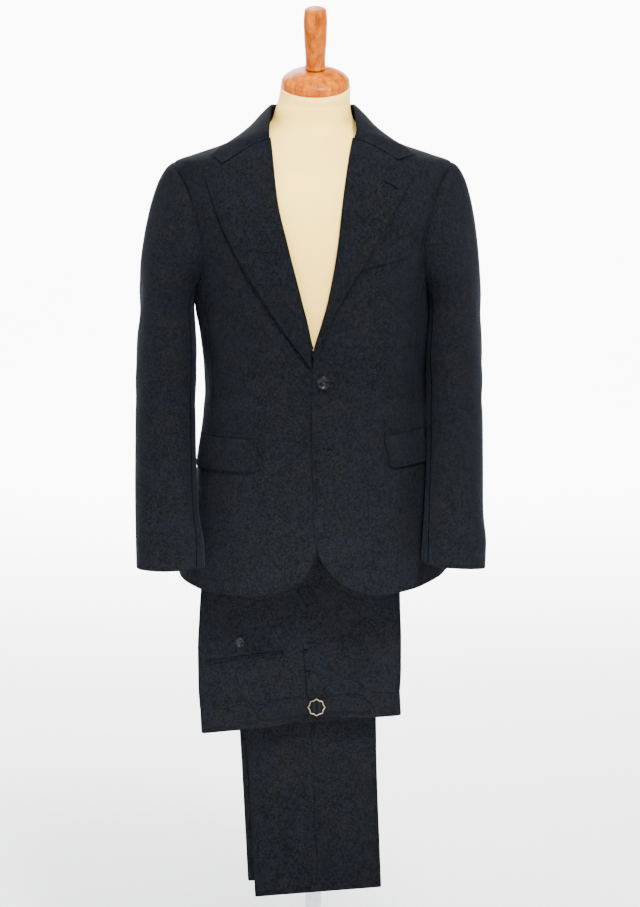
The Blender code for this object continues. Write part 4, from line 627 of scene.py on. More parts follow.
def front(side):
    neck = NECK_TO_ARMHOLE
    edge = EDGES[side]
    edge_angle = np.append(angle_at(edge[:, 0], edge[:, 1]), neck[:, 0])
    edge_angle[-1] -= SHOULDER_ANGLE
    edge_z = np.append(edge[:, 1], neck[:, 1])
    low, high = hem_height(side, FRONT_SEAM), armhole_below(FRONT_SEAM)
    seam_rows = np.array(SIDE_HEIGHTS[:CORNER_ROW + 1])
    seam_z = low + (seam_rows - seam_rows[0]) * (high - low) / (seam_rows[-1] - seam_rows[0])
    side_z = np.concatenate([seam_z, SIDE_HEIGHTS[CORNER_ROW + 1:], neck[:, 2]])
    table = by_row(edge_angle, edge_z, side_z)
    seam, start = FRONT_SEAM - SEAM_ANGLE, table[0]
    drop = start[2] - hem_height(side, start[1])

    def place(u, v):
        a, z, far_z = np.moveaxis(smooth(table, v), -1, 0)
        top = SHOULDER_ANGLE * (v >= len(table) - 1)
        far = np.where(v <= CORNER_ROW, seam, np.minimum(armhole_at(far_z, True), 90.0) - top)
        angle, height = between(a, far, u), between(z, far_z, u)
        hem_angle = between(start[1], seam, u)
        hem = hem_height(side, hem_angle) + drop * np.maximum(0.0, 1 - u / HEM_CURVE) ** 2
        height = height + (hem - between(start[2], start[3], u)) * ramp(HEM_FADE_ROWS, 0.0, v)
        return on_jacket(side, angle, height, lap_lift(side, skin(angle, height)[..., 0], height))

    rows = even_rows(lambda u, v: place(u, v)[0], len(table) - 1)
    return shell("front_" + side, *place(even_shares(0.2), rows), CLOTH, "draped", ["bust_form"])


def side_panel(side):
    low, high = FRONT_SEAM + SEAM_ANGLE, BACK_SEAM - SEAM_ANGLE
    count = CORNER_ROW
    rows_z = np.array(SIDE_HEIGHTS[:count + 1])
    share = (rows_z - rows_z[0]) / (rows_z[-1] - rows_z[0])
    ends = [(hem_height(side, seam), armhole_below(seam)) for seam in (FRONT_SEAM, BACK_SEAM)]
    table = by_row(*[between(*pair, share) for pair in ends])

    def place(u, v):
        near, far = np.moveaxis(smooth(table, v), -1, 0)
        angle, height = between(low, high, u), between(near, far, u)
        hem, arm = hem_height(side, angle), armhole_below(angle)
        height = height + (hem - between(ends[0][0], ends[1][0], u)) * ramp(HEM_FADE_ROWS, 0.0, v)
        height = height + (arm - between(ends[0][1], ends[1][1], u)) * ramp(count - 3.0, count, v)
        return on_jacket(side, angle + 0 * v, height, side_ease(side, angle + 0 * v, height))

    rows = even_rows(lambda u, v: place(u, v)[0], count)
    return shell("side_panel_" + side, *place(even_shares(0.15), rows), CLOTH, "draped", ["bust_form"])


def back(side):
    low, high = hem_height(side, BACK_SEAM), armhole_below(BACK_SEAM)
    seam_rows = np.array(SIDE_HEIGHTS[:CORNER_ROW + 1])
    seam_z = low + (seam_rows - seam_rows[0]) * (high - low) / (seam_rows[-1] - seam_rows[0])
    centre = 180.0 - CENTRE_SEAM_ANGLE
    fade = 1 - np.arange(CORNER_ROW + 1) / CORNER_ROW
    centre_z = np.append(seam_z + (hem_height(side, 180.0) - seam_z[0]) * fade, BACK_TOP[:, 1])
    centre_angle = np.append(np.full(CORNER_ROW + 1, centre), np.minimum(BACK_TOP[:, 0], centre))
    table = by_row(centre_angle, centre_z, np.append(seam_z, BACK_TOP[:, 2]))

    def place(u, v):
        a, z, far_z = np.moveaxis(smooth(table, v), -1, 0)
        last = SHOULDER_ANGLE * (v >= len(table) - 1)
        vent = BACK_SEAM + SEAM_ANGLE - smooth(VENT, far_z)[..., 0]
        far = np.where(v <= CORNER_ROW, vent, np.maximum(armhole_at(far_z, False), 90.0))
        angle, height = between(a + last, far + last, u), between(z, far_z, u)
        _, lift = np.moveaxis(smooth(VENT, height), -1, 0)
        lift = lift * ramp(BACK_SEAM + VENT_LIFT_SPAN, BACK_SEAM, angle)
        return on_jacket(side, angle, height, lift + side_ease(side, angle, height))

    rows = even_rows(lambda u, v: place(u, v)[0], len(table) - 1)
    return shell("back_" + side, *place(even_shares(0.2), rows), CLOTH, "draped", ["bust_form"])


def lapel(side):
    table = by_row(*LAPELS[side].T)
    last = len(table) - 1
    start, notch = np.array(GORGE[side])
    corner = LAPELS[side][-1][1:]

    def place(u, v):
        """u is -1 to 0 round the fold and 0 to 1 over the rest."""
        roll_z, edge_x, edge_z = np.moveaxis(smooth(table, v), -1, 0)
        roll_x = smooth(EDGES[side][:, ::-1], roll_z)[..., 0]
        width = np.hypot(edge_x - roll_x, edge_z - roll_z)
        turn_share = np.minimum(ROLL_TURN / width, 0.4)
        turn = np.clip(u + 1.0, 0.0, 1.0) * np.pi / 2
        share = np.where(u < 0, turn_share * (1 - np.cos(turn)),
                         between(turn_share, 1.0, np.maximum(u, 0.0)))
        x, z = between(roll_x, edge_x, share), between(roll_z, edge_z, share)
        low = np.minimum(share / NOTCH_SHARE, 1.0)
        out = np.maximum(share - NOTCH_SHARE, 0.0) / (1 - NOTCH_SHARE)
        gorge = between(between(start, notch, low[..., None]), corner, out[..., None])
        straight = between(np.stack([roll_x, roll_z], -1), np.stack([edge_x, edge_z], -1), share[..., None])
        near_top = ramp(last - NOTCH_FADE_ROWS, last, v)
        x = x + (gorge - straight)[..., 0] * near_top - ROLL_OVERHANG * np.cos(turn)
        z = z + (gorge - straight)[..., 1] * near_top
        narrow = np.clip((edge_x - roll_x) / LAPEL_NARROW, 0.0, 1.0)
        rise = smooth(LAPEL_RISE, share)[..., 0]
        flat = LAPEL_RISE[-1][1]
        full = smooth(LAPEL_RISE, turn_share)[..., 0]
        rise, full = between(flat, rise, narrow), between(flat, full, narrow)
        fold = between(LAPEL_RISE[0][1], ROLL_TOP_RISE, ramp(last - 1.0, last, v))
        rise = np.where(u < 0, between(fold, full, np.sin(turn)), rise)
        return on_front(side, x, z, rise)

    rows = even_rows(lambda u, v: place(u, v)[0], last, 3.6 * MM)
    over = even_shares(0.11)[0]
    over = np.sort(np.append(over, (NOTCH_SHARE - 0.05) / 0.95))
    shares = np.append(np.linspace(-1.0, 0.0, ROLL_STEPS), over[1:])[None, :]
    return shell("lapel_" + side, *place(shares, rows), CLOTH, "folded", ["front_" + side + "_cloth"])


def collar_stations(side):
    """Middle line of the collar's section, from the stand's foot over the fold to the leaf's edge."""
    table = np.column_stack([np.linspace(0, 1, len(COLLAR)), np.array(COLLAR)])
    start, notch = np.array(GORGE[side])
    stations = []
    for step in range(COLLAR_SIDE_STEPS + 1):
        fold_x, fold_y, fold_z, angle, edge_z = smooth(table, step / COLLAR_SIDE_STEPS)
        fold = np.array((fold_x, fold_y, fold_z))
        if step == 0:
            fold[[0, 2]] = start[0] + COLLAR_START[0], fold_z + COLLAR_START[1]
        foot_angle, foot_z = smooth(COLLAR_FEET, step / COLLAR_SIDE_STEPS)
        foot = on_body(foot_angle, foot_z + COLLAR_FOOT_RISE, -CLOTH / 2)
        edge = on_body(angle, edge_z, LAY_GAP + CLOTH / 2 + COLLAR_EDGE_LIFT)
        line = [between(foot, fold, k / COLLAR_STAND_STEPS) for k in range(COLLAR_STAND_STEPS)] + [fold]
        for k in range(1, COLLAR_LEAF_STEPS + 1):
            part = k / COLLAR_LEAF_STEPS
            point = between(fold, edge, part)
            point = point + skin_normal(angle, edge_z) * COLLAR_BULGE * math.sin(math.pi * part)
            if step == 0 and part < 1.0:
                reach = min(part / NOTCH_SHARE, 1.0)
                x, z = between(start + (0, GORGE_GAP), notch + (0, 2 * GORGE_GAP), reach)
                point = on_body(angle_at(x, z), z, between(*COLLAR_END_RISE, reach) - CLOTH / 2)
            line.append(point)
        stations.append(line)
    stations[-1] = [point * (0.0, 1.0, 1.0) for point in stations[-1]]
    return np.array(stations)


def collar():
    """Stand and leaf in one folded strip round the back of the neck."""
    other, half = collar_stations("right") * (-1.0, 1.0, 1.0), collar_stations("left")
    strip = np.concatenate([other, half[::-1][1:]])
    stand = np.linspace(0, COLLAR_STAND_STEPS, 13)
    leaf = np.linspace(COLLAR_STAND_STEPS, COLLAR_STAND_STEPS + COLLAR_LEAF_STEPS, 25)
    grid = finer(strip, np.append(stand, leaf[1:]), 3.4 * MM, COLLAR_CRISP)
    fold = np.exp(-((np.arange(grid.shape[1]) - 12) / 3.0) ** 2)[None, 1:-1, None]
    for _ in range(14):
        bend = grid[:, :-2] + grid[:, 2:] - 2 * grid[:, 1:-1]
        grid[:, 1:-1] += 0.25 * fold * bend
    normals = grid_normals(grid)
    return shell("collar", grid + normals * CLOTH / 2, normals, CLOTH, "folded", ["bust_form"])


def sleeve_point(side, turn, share):
    """Outer face of a sleeve: share 0 to 1 is the head, 1 to 2 the arm."""
    turn, share = np.broadcast_arrays(turn, share)
    shift, width, cuff_rise = SLEEVE_SIDES[side]
    cosine, sine = np.cos(2 * np.pi * turn), np.sin(2 * np.pi * turn)
    cuff, top = SLEEVE[0][0], SLEEVE[-1][0]

    def ring(z):
        x, y, half_x, half_y, twist = np.moveaxis(smooth(SLEEVE, z), -1, 0)
        lean = np.radians(twist)
        east, south = half_x * width * cosine, -half_y * sine
        return np.stack([x + shift + east * np.cos(lean) + south * np.sin(lean) * SLEEVE_SKEW,
                         y + south * np.cos(lean) - east * np.sin(lean) * SLEEVE_SKEW, z], axis=-1)

    low = np.maximum(share - 1, 0.0)
    arm = ring(top + (cuff - top) * low)
    arm[..., 2] += cuff_rise * (1 - cosine) / 2 * low ** 3
    angle, z = armhole(turn, SLEEVE_INSET)
    start, end = on_body(angle, z, SLEEVE_LIFT), ring(top + 0 * turn)
    length = np.linalg.norm(end - start, axis=-1, keepdims=True)
    inward = unit(np.array((0.0, CENTRE_Y, ARMHOLE_WIDEST)) + start * (1.0, 0.0, 0.0) - start)
    over_top = (np.maximum(0.0, cosine) ** 2)[..., None]
    lead = unit(skin_normal(angle, z) + inward * HEAD_LEAN * over_top) * HEAD_REACH * length
    fall = np.array((0.0, 0.0, -1.0)) * HEAD_DROP * length
    t = np.minimum(share, 1.0)[..., None]
    head = (start * (1 + 2 * t) * (1 - t) ** 2 + lead * t * (1 - t) ** 2
            + end * t * t * (3 - 2 * t) + fall * t * t * (t - 1))
    return np.where((share >= 1)[..., None], arm, head)


def sleeve_part(kind, side):
    first, last = SLEEVE_SPANS[kind]
    gap = SLEEVE_SEAM_TURN / 2
    turns = between(first + gap, last - gap, even_shares(0.19 if kind == "top_sleeve" else 0.14))
    shares = 2.0 - even_rows(lambda u, v: sleeve_point(side, between(first, last, u), 2.0 - v), 2)
    smooth_step = 0.004
    down = sleeve_point(side, turns, np.minimum(shares + smooth_step, 2.0)) - sleeve_point(
        side, turns, np.maximum(shares - smooth_step, 0.0))
    about = sleeve_point(side, turns + smooth_step, shares) - sleeve_point(side, turns - smooth_step, shares)
    flip = np.array((SIGN[side], 1.0, 1.0))
    points, normals = sleeve_point(side, turns, shares) * flip, unit(np.cross(down, about)) * flip
    height = relief(SLEEVE_FOLDS, points, normals) * ramp(0.03, 0.25, shares)
    return shell(kind + "_" + side, points + normals * height[..., None], normals, CLOTH, "draped",
                 ["bust_form"])


def doubled(height, thick):
    """Section of a strip folded lengthwise: height and lift of its outer face, and its direction."""
    radius = thick / 2
    turn = np.radians(np.linspace(-90.0, 90.0, 9))[1:-1]
    run = near_ends(height - radius, 1 * MM)
    high = np.concatenate([run, height - radius + radius * np.cos(turn), run[::-1]])
    out = np.concatenate([0 * run, radius + radius * np.sin(turn), 0 * run + thick])
    high_part = np.concatenate([0 * run, np.cos(turn), 0 * run])
    out_part = np.concatenate([0 * run - 1, np.sin(turn), 0 * run + 1])
    return high[:, None], out[:, None], high_part[:, None], out_part[:, None]


def flap(side):
    """Hip flap with rounded lower corners, and the jet over it."""
    front_x, front_z, low_x, low_z, rear, rear_z, rear_low_z = FLAPS[side]
    top = np.array(((float(angle_at(front_x, front_z)), front_z), (rear, rear_z)))
    bottom = np.array(((float(angle_at(low_x, low_z)), low_z), (rear + FLAP_SKEW, rear_low_z)))
    long, tall = 0.11, front_z - low_z
    u, v = even_shares(long, 3 * MM)[..., None], even_shares(tall, 3 * MM).T[..., None]
    spot = between(between(top[0], top[1], u), between(bottom[0], bottom[1], u), v)
    end = np.minimum(u, 1 - u)[..., 0] * long
    corner = FLAP_CORNER * 0.9
    cut = corner - np.sqrt(np.maximum(corner ** 2 - np.maximum(corner - end, 0.0) ** 2, 0.0))
    angle, z = spot[..., 0], spot[..., 1] + cut * v[..., 0] ** 3
    plump = np.sin(np.pi * u[..., 0]) * np.sin(np.pi * v[..., 0]) * 0.7 * MM
    made = shell("flap_" + side, *on_jacket(side, angle, z, LAY_GAP + FLAP_THICK + plump), FLAP_THICK,
                 "draped", ["front_" + side + "_cloth"])
    high, out, high_part, out_part = doubled(JET_HEIGHT, FLAP_THICK)
    line = between(top[0], top[1], u)
    place, normal = on_jacket(side, line[..., 0], line[..., 1] + SEAM_GAP + high, LAY_GAP + out)
    normals = unit(normal * out_part[..., None] + np.array((0.0, 0.0, 1.0)) * high_part[..., None])
    shell("jet_" + side, place, normals, JET_WALL, "folded", ["front_" + side + "_cloth"])
    return made


def breast_welt():
    low_in, low_out, high_out, high_in = BREAST_WELT
    u, v = even_shares(0.075, 3 * MM)[..., None], even_shares(0.03, 3 * MM).T[..., None]
    spot = between(between(low_in, low_out, u), between(high_in, high_out, u), v)
    return shell("breast_welt", *on_front("left", spot[..., 0], spot[..., 1], BREAST_GAP + WELT_THICK),
                 WELT_THICK, "folded", ["front_left_cloth"])


def leg_stations(layer):
    """Sections of one leg: distance along it, middle point, outward direction, half thickness, left, seam
    and right x, share of the inner face that is left, and slope, from the hem behind the bar to the waist
    seam."""
    radius = BAR_RADIUS + BAR_GAP + LEG_HALF
    if layer == "over":
        radius += 2 * LEG_HALF + LEG_LAYER_GAP
    face = 1.0 if layer == "over" else -1.0
    stations = []
    for share in BACK_DROPS[::-1]:
        drop = (BAR_Z - LEG_HEM[layer]) * share
        left, right = smooth(LEG_EDGES, -drop)
        shift = LEG_SHIFT[layer] * ramp(0.0, LEG_SHIFT_DROP, drop)
        slope = LEG_SLANT[layer] * ramp(0.5, 1.0, share)
        stations.append((BAR_Y + radius, BAR_Z - drop, 1.0, 0.0, LEG_HALF, left + shift,
                         (left + right) / 2 + shift, right + shift, 1.0, slope))
    left, right = smooth(LEG_EDGES, 0.0)
    for step in range(1, ARC_STEPS):
        turn = math.pi * step / ARC_STEPS
        y, z = math.cos(turn), math.sin(turn)
        stations.append((BAR_Y + radius * y, BAR_Z + radius * z, y, z, LEG_HALF,
                         left, (left + right) / 2, right, 1.0, 0.0))
    seat_half = SEAT_HALF / 2 - SEAM_GAP / 2
    seat_y = SEAT_Y - face * (SEAT_HALF / 2 + SEAM_GAP / 2)
    for drop in FRONT_DROPS:
        left, right = smooth(LEG_EDGES, drop)
        ease = ramp(0.0, BAR_Z - SEAT[-1][0], drop)
        stations.append((between(BAR_Y - radius, seat_y, ease), BAR_Z - drop, -1.0, 0.0,
                         between(LEG_HALF, seat_half, ease), left, (left + right) / 2, right, 1.0, 0.0))
    for z, left, seam, right, share in SEAT[::-1]:
        slope = SEAT_SLOPE * ramp(SEAT[-1][0], SEAT[0][0], z)
        stations.append((seat_y, z, -1.0, 0.0, seat_half, left, seam, right, share, slope))
    stations = np.array(stations)
    along = np.append(0.0, np.cumsum(np.linalg.norm(np.diff(stations[:, :2], axis=0), axis=1)))
    return np.column_stack([along, stations]), face


def leg_panel(layer, part, label):
    """One trouser panel, from hem to waist seam, folded along its crease."""
    stations, face = leg_stations(layer)
    along = stations[:, 0]
    seat_from = along[-len(SEAT)] - 0.01
    keys = near_ends(along[-1], 6.5 * MM)
    seat_keys = seat_from + near_ends(along[-1] - seat_from, 2.4 * MM)[3:]
    keys = np.concatenate([keys[keys < seat_from], seat_keys])
    rows = smooth(stations, keys)
    y, z, ny, nz, half, left, seam, right, share, slope = rows.T[..., None]
    norm = np.hypot(ny, nz)
    ny, nz = ny / norm, nz / norm
    sign = 1.0 if part == "front" else -1.0
    start = seam + sign * SEAM_GAP / 2
    crease = (right if part == "front" else left) - sign * half
    over, turn, under = even_shares(0.14), np.linspace(0, np.pi, 9)[None, 1:-1], even_shares(0.14, 7 * MM)
    flat = np.ones_like(half)
    x = np.concatenate([between(start, crease, over), crease + sign * half * np.sin(turn),
                        between(crease, crease + (start - crease) * share, under)], axis=1)
    depth = half * np.concatenate([flat + 0 * over, np.cos(turn) + 0 * flat, -flat + 0 * under], axis=1)
    side_x = sign * np.concatenate([0 * over + 0 * flat, np.sin(turn) + 0 * flat, 0 * under + 0 * flat],
                                   axis=1)
    points = np.stack([x, y + ny * depth * face, z + nz * depth * face + slope * (x - seam)], axis=-1)
    normals = unit(np.stack([side_x, ny * depth / half * face, nz * depth / half * face], axis=-1))
    seat_share = ramp(seat_from - 0.02, seat_from + 0.02, keys)[:, None]
    outside = np.concatenate([1 + 0 * over, 1 - turn / np.pi, 0 * under], axis=1)
    folds = relief(SEAT_FOLDS + puckers(), points, normals) * seat_share
    folds = (folds + relief(LEG_FOLDS, points, normals) * (1 - seat_share)) * outside
    folds = folds * ramp(along[-1], along[-1] - 0.015, keys)[:, None]
    return shell("trouser_%s_%s" % (part, label), points + normals * folds[..., None], normals, LEG_WALL,
                 "hung", ["trouser_bar"])


def puckers():
    """Short folds beside the side seam, where the pocket's edge is sewn."""
    made = []
    for k, z in enumerate(np.arange(*PUCKER_Z, PUCKER_PITCH)):
        x = float(smooth(SEAT[:, [0, 2]], z)[0]) + 3.0 * MM
        long = PUCKER_LONG * (1.0, 0.7, 1.25, 0.85, 1.1)[k % 5]
        lift = (0.0, 0.8, -0.6, 0.4)[k % 4] * MM
        made.append(("front", x, z + lift, x + long, z + lift * 0.4, PUCKER_HALF, PUCKER_DEPTH))
        made.append(("back", x, z + lift, x + long, z, PUCKER_HALF, PUCKER_DEPTH))
    return made


def waistband(label, face):
    """Half of the waistband, from centre back to centre front; face is -1 for the near one."""
    seam_z, left, seam, right, _ = SEAT[0]
    half = SEAT_HALF - SEAM_GAP / 2
    low, high = left + half, right - half
    turn = np.radians(np.linspace(2.0, 90.0, 9))
    run = near_ends(high - low)[1:-1]
    x = np.concatenate([low - half * np.cos(turn), low + run, high + half * np.cos(turn[::-1])])
    out = np.concatenate([half * np.sin(turn), np.full(len(run), half), half * np.sin(turn[::-1])])
    side_x = np.concatenate([-np.cos(turn), 0 * run, np.cos(turn[::-1])])
    down = even_shares(BAND_HEIGHT, 2.6 * MM).T
    pull = BAND_PULL * (face < 0) * np.exp(-((x - BUCKLE_AT[0]) / BAND_PULL_SPREAD) ** 2)
    z = seam_z - SEAM_GAP - down * BAND_HEIGHT + SEAT_SLOPE * (x - seam) + pull * down
    points = np.stack([x + BAND_LEAN * down, SEAT_Y + face * (out + SEAM_GAP / 2) + 0 * down, z], axis=-1)
    normals = np.stack([side_x + 0 * down, face * out / half + 0 * down, 0 * z], axis=-1)
    folds = relief(BAND_FOLDS, points, normals)
    return shell("waistband_" + label, points + normals * folds[..., None], unit(normals), BAND_WALL,
                 "hung", ["trouser_bar"])


BAND_FOLDS = [
    ("front", -0.0450, 0.4900, 0.0300, 0.4940, 0.0060, -0.9 * MM),
    ("front", -0.0950, 0.4880, -0.0500, 0.4860, 0.0060, 0.8 * MM),
    ("front", 0.0500, 0.4980, 0.1000, 0.5120, 0.0070, 0.7 * MM),
    ("back", -0.0450, 0.4900, 0.0300, 0.4940, 0.0060, -0.9 * MM),
]


def straps(face, label):
    """The two straps of a side adjuster."""
    surface = SEAT_Y + face * SEAT_HALF
    u, v = even_shares(0.09, 2 * MM), between(-1.0, 1.0, even_shares(0.028, 2 * MM).T)
    made = []
    for side, (start, end, start_z, end_z, half) in STRAPS.items():
        reach = half * between(STRAP_NECK, 1.0, ramp(0.0, 0.35, u))
        tip = np.clip((u - STRAP_POINT_FROM) / (1 - STRAP_POINT_FROM), 0.0, 1.0)
        reach = reach * between(1.0, STRAP_POINT_WIDTH, tip)
        x = between(start, end, u * (1 - STRAP_SHOULDER * abs(v) * (tip > 0)))
        z = between(start_z, end_z, u) + v * reach + STRAP_ARCH * np.sin(np.pi * u)
        wave = 0.35 * MM * np.sin(3.0 * np.pi * u) * np.cos(v * np.pi / 2)
        points = np.stack([x, surface + face * (STRAP_LIFT + STRAP_THICK + wave), z], axis=-1)
        normals = np.zeros_like(points) + (0.0, face, 0.0)
        made.append(shell("strap_%s_%s" % (side, label), points, normals, STRAP_THICK, "laid",
                          ["waistband_%s_cloth" % label]))
    return made


def back_pocket(face, label):
    """The two lips of a back pocket on the seat."""
    surface = SEAT_Y + face * (SEAT_HALF + POCKET_GAP)
    low, high = POCKET
    u = even_shares(0.11, 3 * MM)
    up, out, up_part, out_part = doubled(POCKET_JET, POCKET_THICK)
    slit = SLIT_DEPTH * (out_part > 0.9) * np.exp(-((up - POCKET_JET / 2) / SLIT_HALF) ** 2)
    x = between(low[0] + POCKET_END, high[0], u) + 0 * up
    z = between(low[1], high[1], u) + up - POCKET_JET
    points = np.stack([x, surface + face * (out - slit) + 0 * u, z], axis=-1)
    normals = np.stack([0 * x, face * out_part + 0 * u, up_part + 0 * u], axis=-1)
    return shell("pocket_jet_" + label, points, normals, JET_WALL, "folded",
                 ["trouser_back_%s_cloth" % label])


def turned(name, profile, steps, look, slot, replaced, matrix=Matrix.Identity(4)):
    """Solid turned about its own Z axis from a profile of radius and height, from top to foot."""
    profile = np.array(profile)
    angle = np.linspace(0, 2 * np.pi, steps, endpoint=False)
    rings = np.stack([profile[:, :1] * np.cos(angle), profile[:, :1] * np.sin(angle),
                      profile[:, 1:] + 0 * angle], axis=-1)
    places = np.array([matrix @ Vector(p) for p in rings.reshape(-1, 3)])
    index = np.arange(len(places)).reshape(len(profile), steps)
    after = np.roll(index, -1, axis=1)
    quads = np.stack([index[:-1], index[1:], after[1:], after[:-1]], axis=-1).reshape(-1, 4).tolist()
    ends = [index[0].tolist(), index[-1][::-1].tolist()]
    return mesh_piece(name, places, quads + ends, LOOKS[look], replaced, smooth_angle=50)


def arc(radius_x, radius_z, centre_x, centre_z, start, end, count):
    turns = np.radians(np.linspace(start, end, count))
    return [(centre_x + radius_x * math.cos(t), centre_z + radius_z * math.sin(t)) for t in turns]


def facing(place, normal, roll=0.0):
    """Matrix of a piece that lies at a place with its own Z axis along a direction."""
    turn = Vector(normal).to_track_quat("Z", "Y").to_matrix().to_4x4()
    return Matrix.Translation(Vector(place)) @ turn @ Matrix.Rotation(roll, 4, "Z")


def button(name, radius, thick, matrix, replaced, thread):
    """Four-hole button with a dished face and a rolled rim, sewn on with crossed threads."""
    rim = radius * 0.16
    profile = [(0.001 * MM, thick * 0.58), (radius * 0.45, thick * 0.60), (radius * 0.62, thick * 0.68)]
    profile += arc(rim, thick * 0.30, radius - rim, thick * 0.70, 150, -20, 12)
    profile += arc(radius * 0.12, thick * 0.30, radius * 0.86, thick * 0.30, -10, -80, 6)
    profile += [(radius * 0.5, 0.0)]
    made = turned(name, profile, 48, "horn", "button", replaced, matrix)
    spread = radius * 0.19
    cutters = bmesh.new()
    for sx in (-1, 1):
        for sy in (-1, 1):
            place = matrix @ Matrix.Translation((sx * spread, sy * spread, thick * 0.5))
            bmesh.ops.create_cone(cutters, cap_ends=True, segments=12, radius1=radius * 0.085,
                                  radius2=radius * 0.085, depth=thick * 2, matrix=place)
    data = bpy.data.meshes.new("holes")
    cutters.to_mesh(data)
    cutters.free()
    holes = bpy.data.objects.new("holes", data)
    bpy.context.scene.collection.objects.link(holes)
    cut = made.modifiers.new("Holes", "BOOLEAN")
    cut.operation, cut.object, cut.solver = "DIFFERENCE", holes, "EXACT"
    bpy.context.view_layer.update()
    result = bpy.data.meshes.new_from_object(made.evaluated_get(bpy.context.evaluated_depsgraph_get()))
    made.modifiers.clear()
    made.data = result
    bpy.data.objects.remove(holes)
    up = 0.60 * thick
    ends = [((-spread, -spread, up), (spread, spread, up)),
            ((-spread, spread, up), (spread, -spread, up * 1.1))]
    for a, b in ends:
        thread.append((np.array(matrix @ Vector(a)), np.array(matrix @ Vector(b))))
    return made


def dashes(name, pairs, radius, look, sides=6):
    """Short threads between pairs of points, thinner at both ends, in one mesh."""
    starts, ends = np.array([a for a, _ in pairs]), np.array([b for _, b in pairs])
    along = unit(ends - starts)
    helper = np.where(abs(along[:, 2:]) < 0.8, (0.0, 0.0, 1.0), (1.0, 0.0, 0.0))
    first = unit(np.cross(along, helper))
    second = np.cross(along, first)
    shares, widths = (0.0, 0.18, 0.5, 0.82, 1.0), (0.35, 0.85, 1.0, 0.85, 0.35)
    turn = 2 * np.pi * np.arange(sides) / sides
    rings = [(between(starts, ends, share)[:, None] + width * radius * (
        first[:, None] * np.cos(turn)[:, None] + second[:, None] * np.sin(turn)[:, None]))
        for share, width in zip(shares, widths)]
    places = np.stack(rings, axis=1)
    index = np.arange(places[..., 0].size).reshape(places.shape[:3])
    after = np.roll(index, -1, axis=2)
    quads = np.stack([index[:, :-1], after[:, :-1], after[:, 1:], index[:, 1:]], axis=-1)
    quads = quads.reshape(-1, 4).tolist()
    caps = index[:, 0, ::-1].tolist() + index[:, -1].tolist()
    return mesh_piece(name, places.reshape(-1, 3), quads + caps, LOOKS[look])


def rail(made, edge, inset, height=0.0):
    """Line on a cloth piece, at a distance inside one of its edges."""
    grid, normals = made["points"], made["normals"]
    if edge in ("low", "high"):
        grid, normals = grid.transpose(1, 0, 2), normals.transpose(1, 0, 2)
    if edge in ("last", "high"):
        grid, normals = grid[:, ::-1], normals[:, ::-1]
    across = lengths(grid, 1)
    line, out = [], []
    for row, distance, normal in zip(grid, across, normals):
        line.append([np.interp(inset, distance, row[:, k]) for k in range(3)])
        out.append([np.interp(inset, distance, normal[:, k]) for k in range(3)])
    return np.array(line) + height * np.array(out), np.array(out)


def stitched(line, pitch, length, first=0.0, last=None, wander=0.0):
    """Pairs of points for stitches along a line, at a pitch and of a length."""
    along = np.append(0.0, np.cumsum(np.linalg.norm(np.diff(line, axis=0), axis=1)))
    last = along[-1] if last is None else last
    starts = np.arange(first, last - length, pitch)
    starts = starts + wander * np.sin(starts * 731.0) * pitch
    spot = np.array([[np.interp(s + d, along, line[:, k]) for k in range(3)]
                     for s in starts for d in (0, length)])
    return [(spot[i], spot[i + 1]) for i in range(0, len(spot), 2)]


NEAR_REACH = 4.0 * MM          # how far past the nearest vertex the frontmost one is looked for
LEAST_FORWARD = -0.35          # least forward part of a normal that a slope is taken from


def touching(made, spots, height):
    """Points over the face that a cloth piece turns to the front, at spots given by x and height."""
    grid, normals = made["points"].reshape(-1, 3), made["normals"].reshape(-1, 3)
    line = []
    for x, z in spots:
        gap = np.hypot(grid[:, 0] - x, grid[:, 2] - z)
        close = np.flatnonzero(gap < gap.min() + NEAR_REACH)
        near = close[np.argmin(grid[close, 1])]
        place, normal = grid[near], -normals[near] if normals[near, 1] > 0 else normals[near]
        slope = min(normal[1], LEAST_FORWARD)
        y = place[1] - ((x - place[0]) * normal[0] + (z - place[2]) * normal[2]) / slope
        line.append(np.array((x, y, z)) + normal * height)
    return line


def cord(line):
    """Pairs of points that follow a line end to end."""
    return list(zip(line[:-1], line[1:]))


def finer_line(*corners, step=3 * MM):
    """Spots about a step apart along straight runs between corners."""
    spots = [np.array(corners[0])]
    for a, b in zip(corners[:-1], corners[1:]):
        a, b = np.array(a), np.array(b)
        count = max(int(np.linalg.norm(b - a) / step), 1)
        spots += [between(a, b, (k + 1) / count) for k in range(count)]
    return spots


# Pick stitches: distance inside the edge, pitch, length, radius of the thread, depth of its middle.
PICK_INSET, PICK_PITCH, PICK_LENGTH, PICK_RADIUS = 5.0 * MM, 5.2 * MM, 1.2 * MM, 0.20 * MM
PICK_DEPTH, PICK_WANDER = 0.05 * MM, 0.06
PICK_BELOW = {"left": 1.03, "right": 0.80}     # top of the stitches on each front's edge


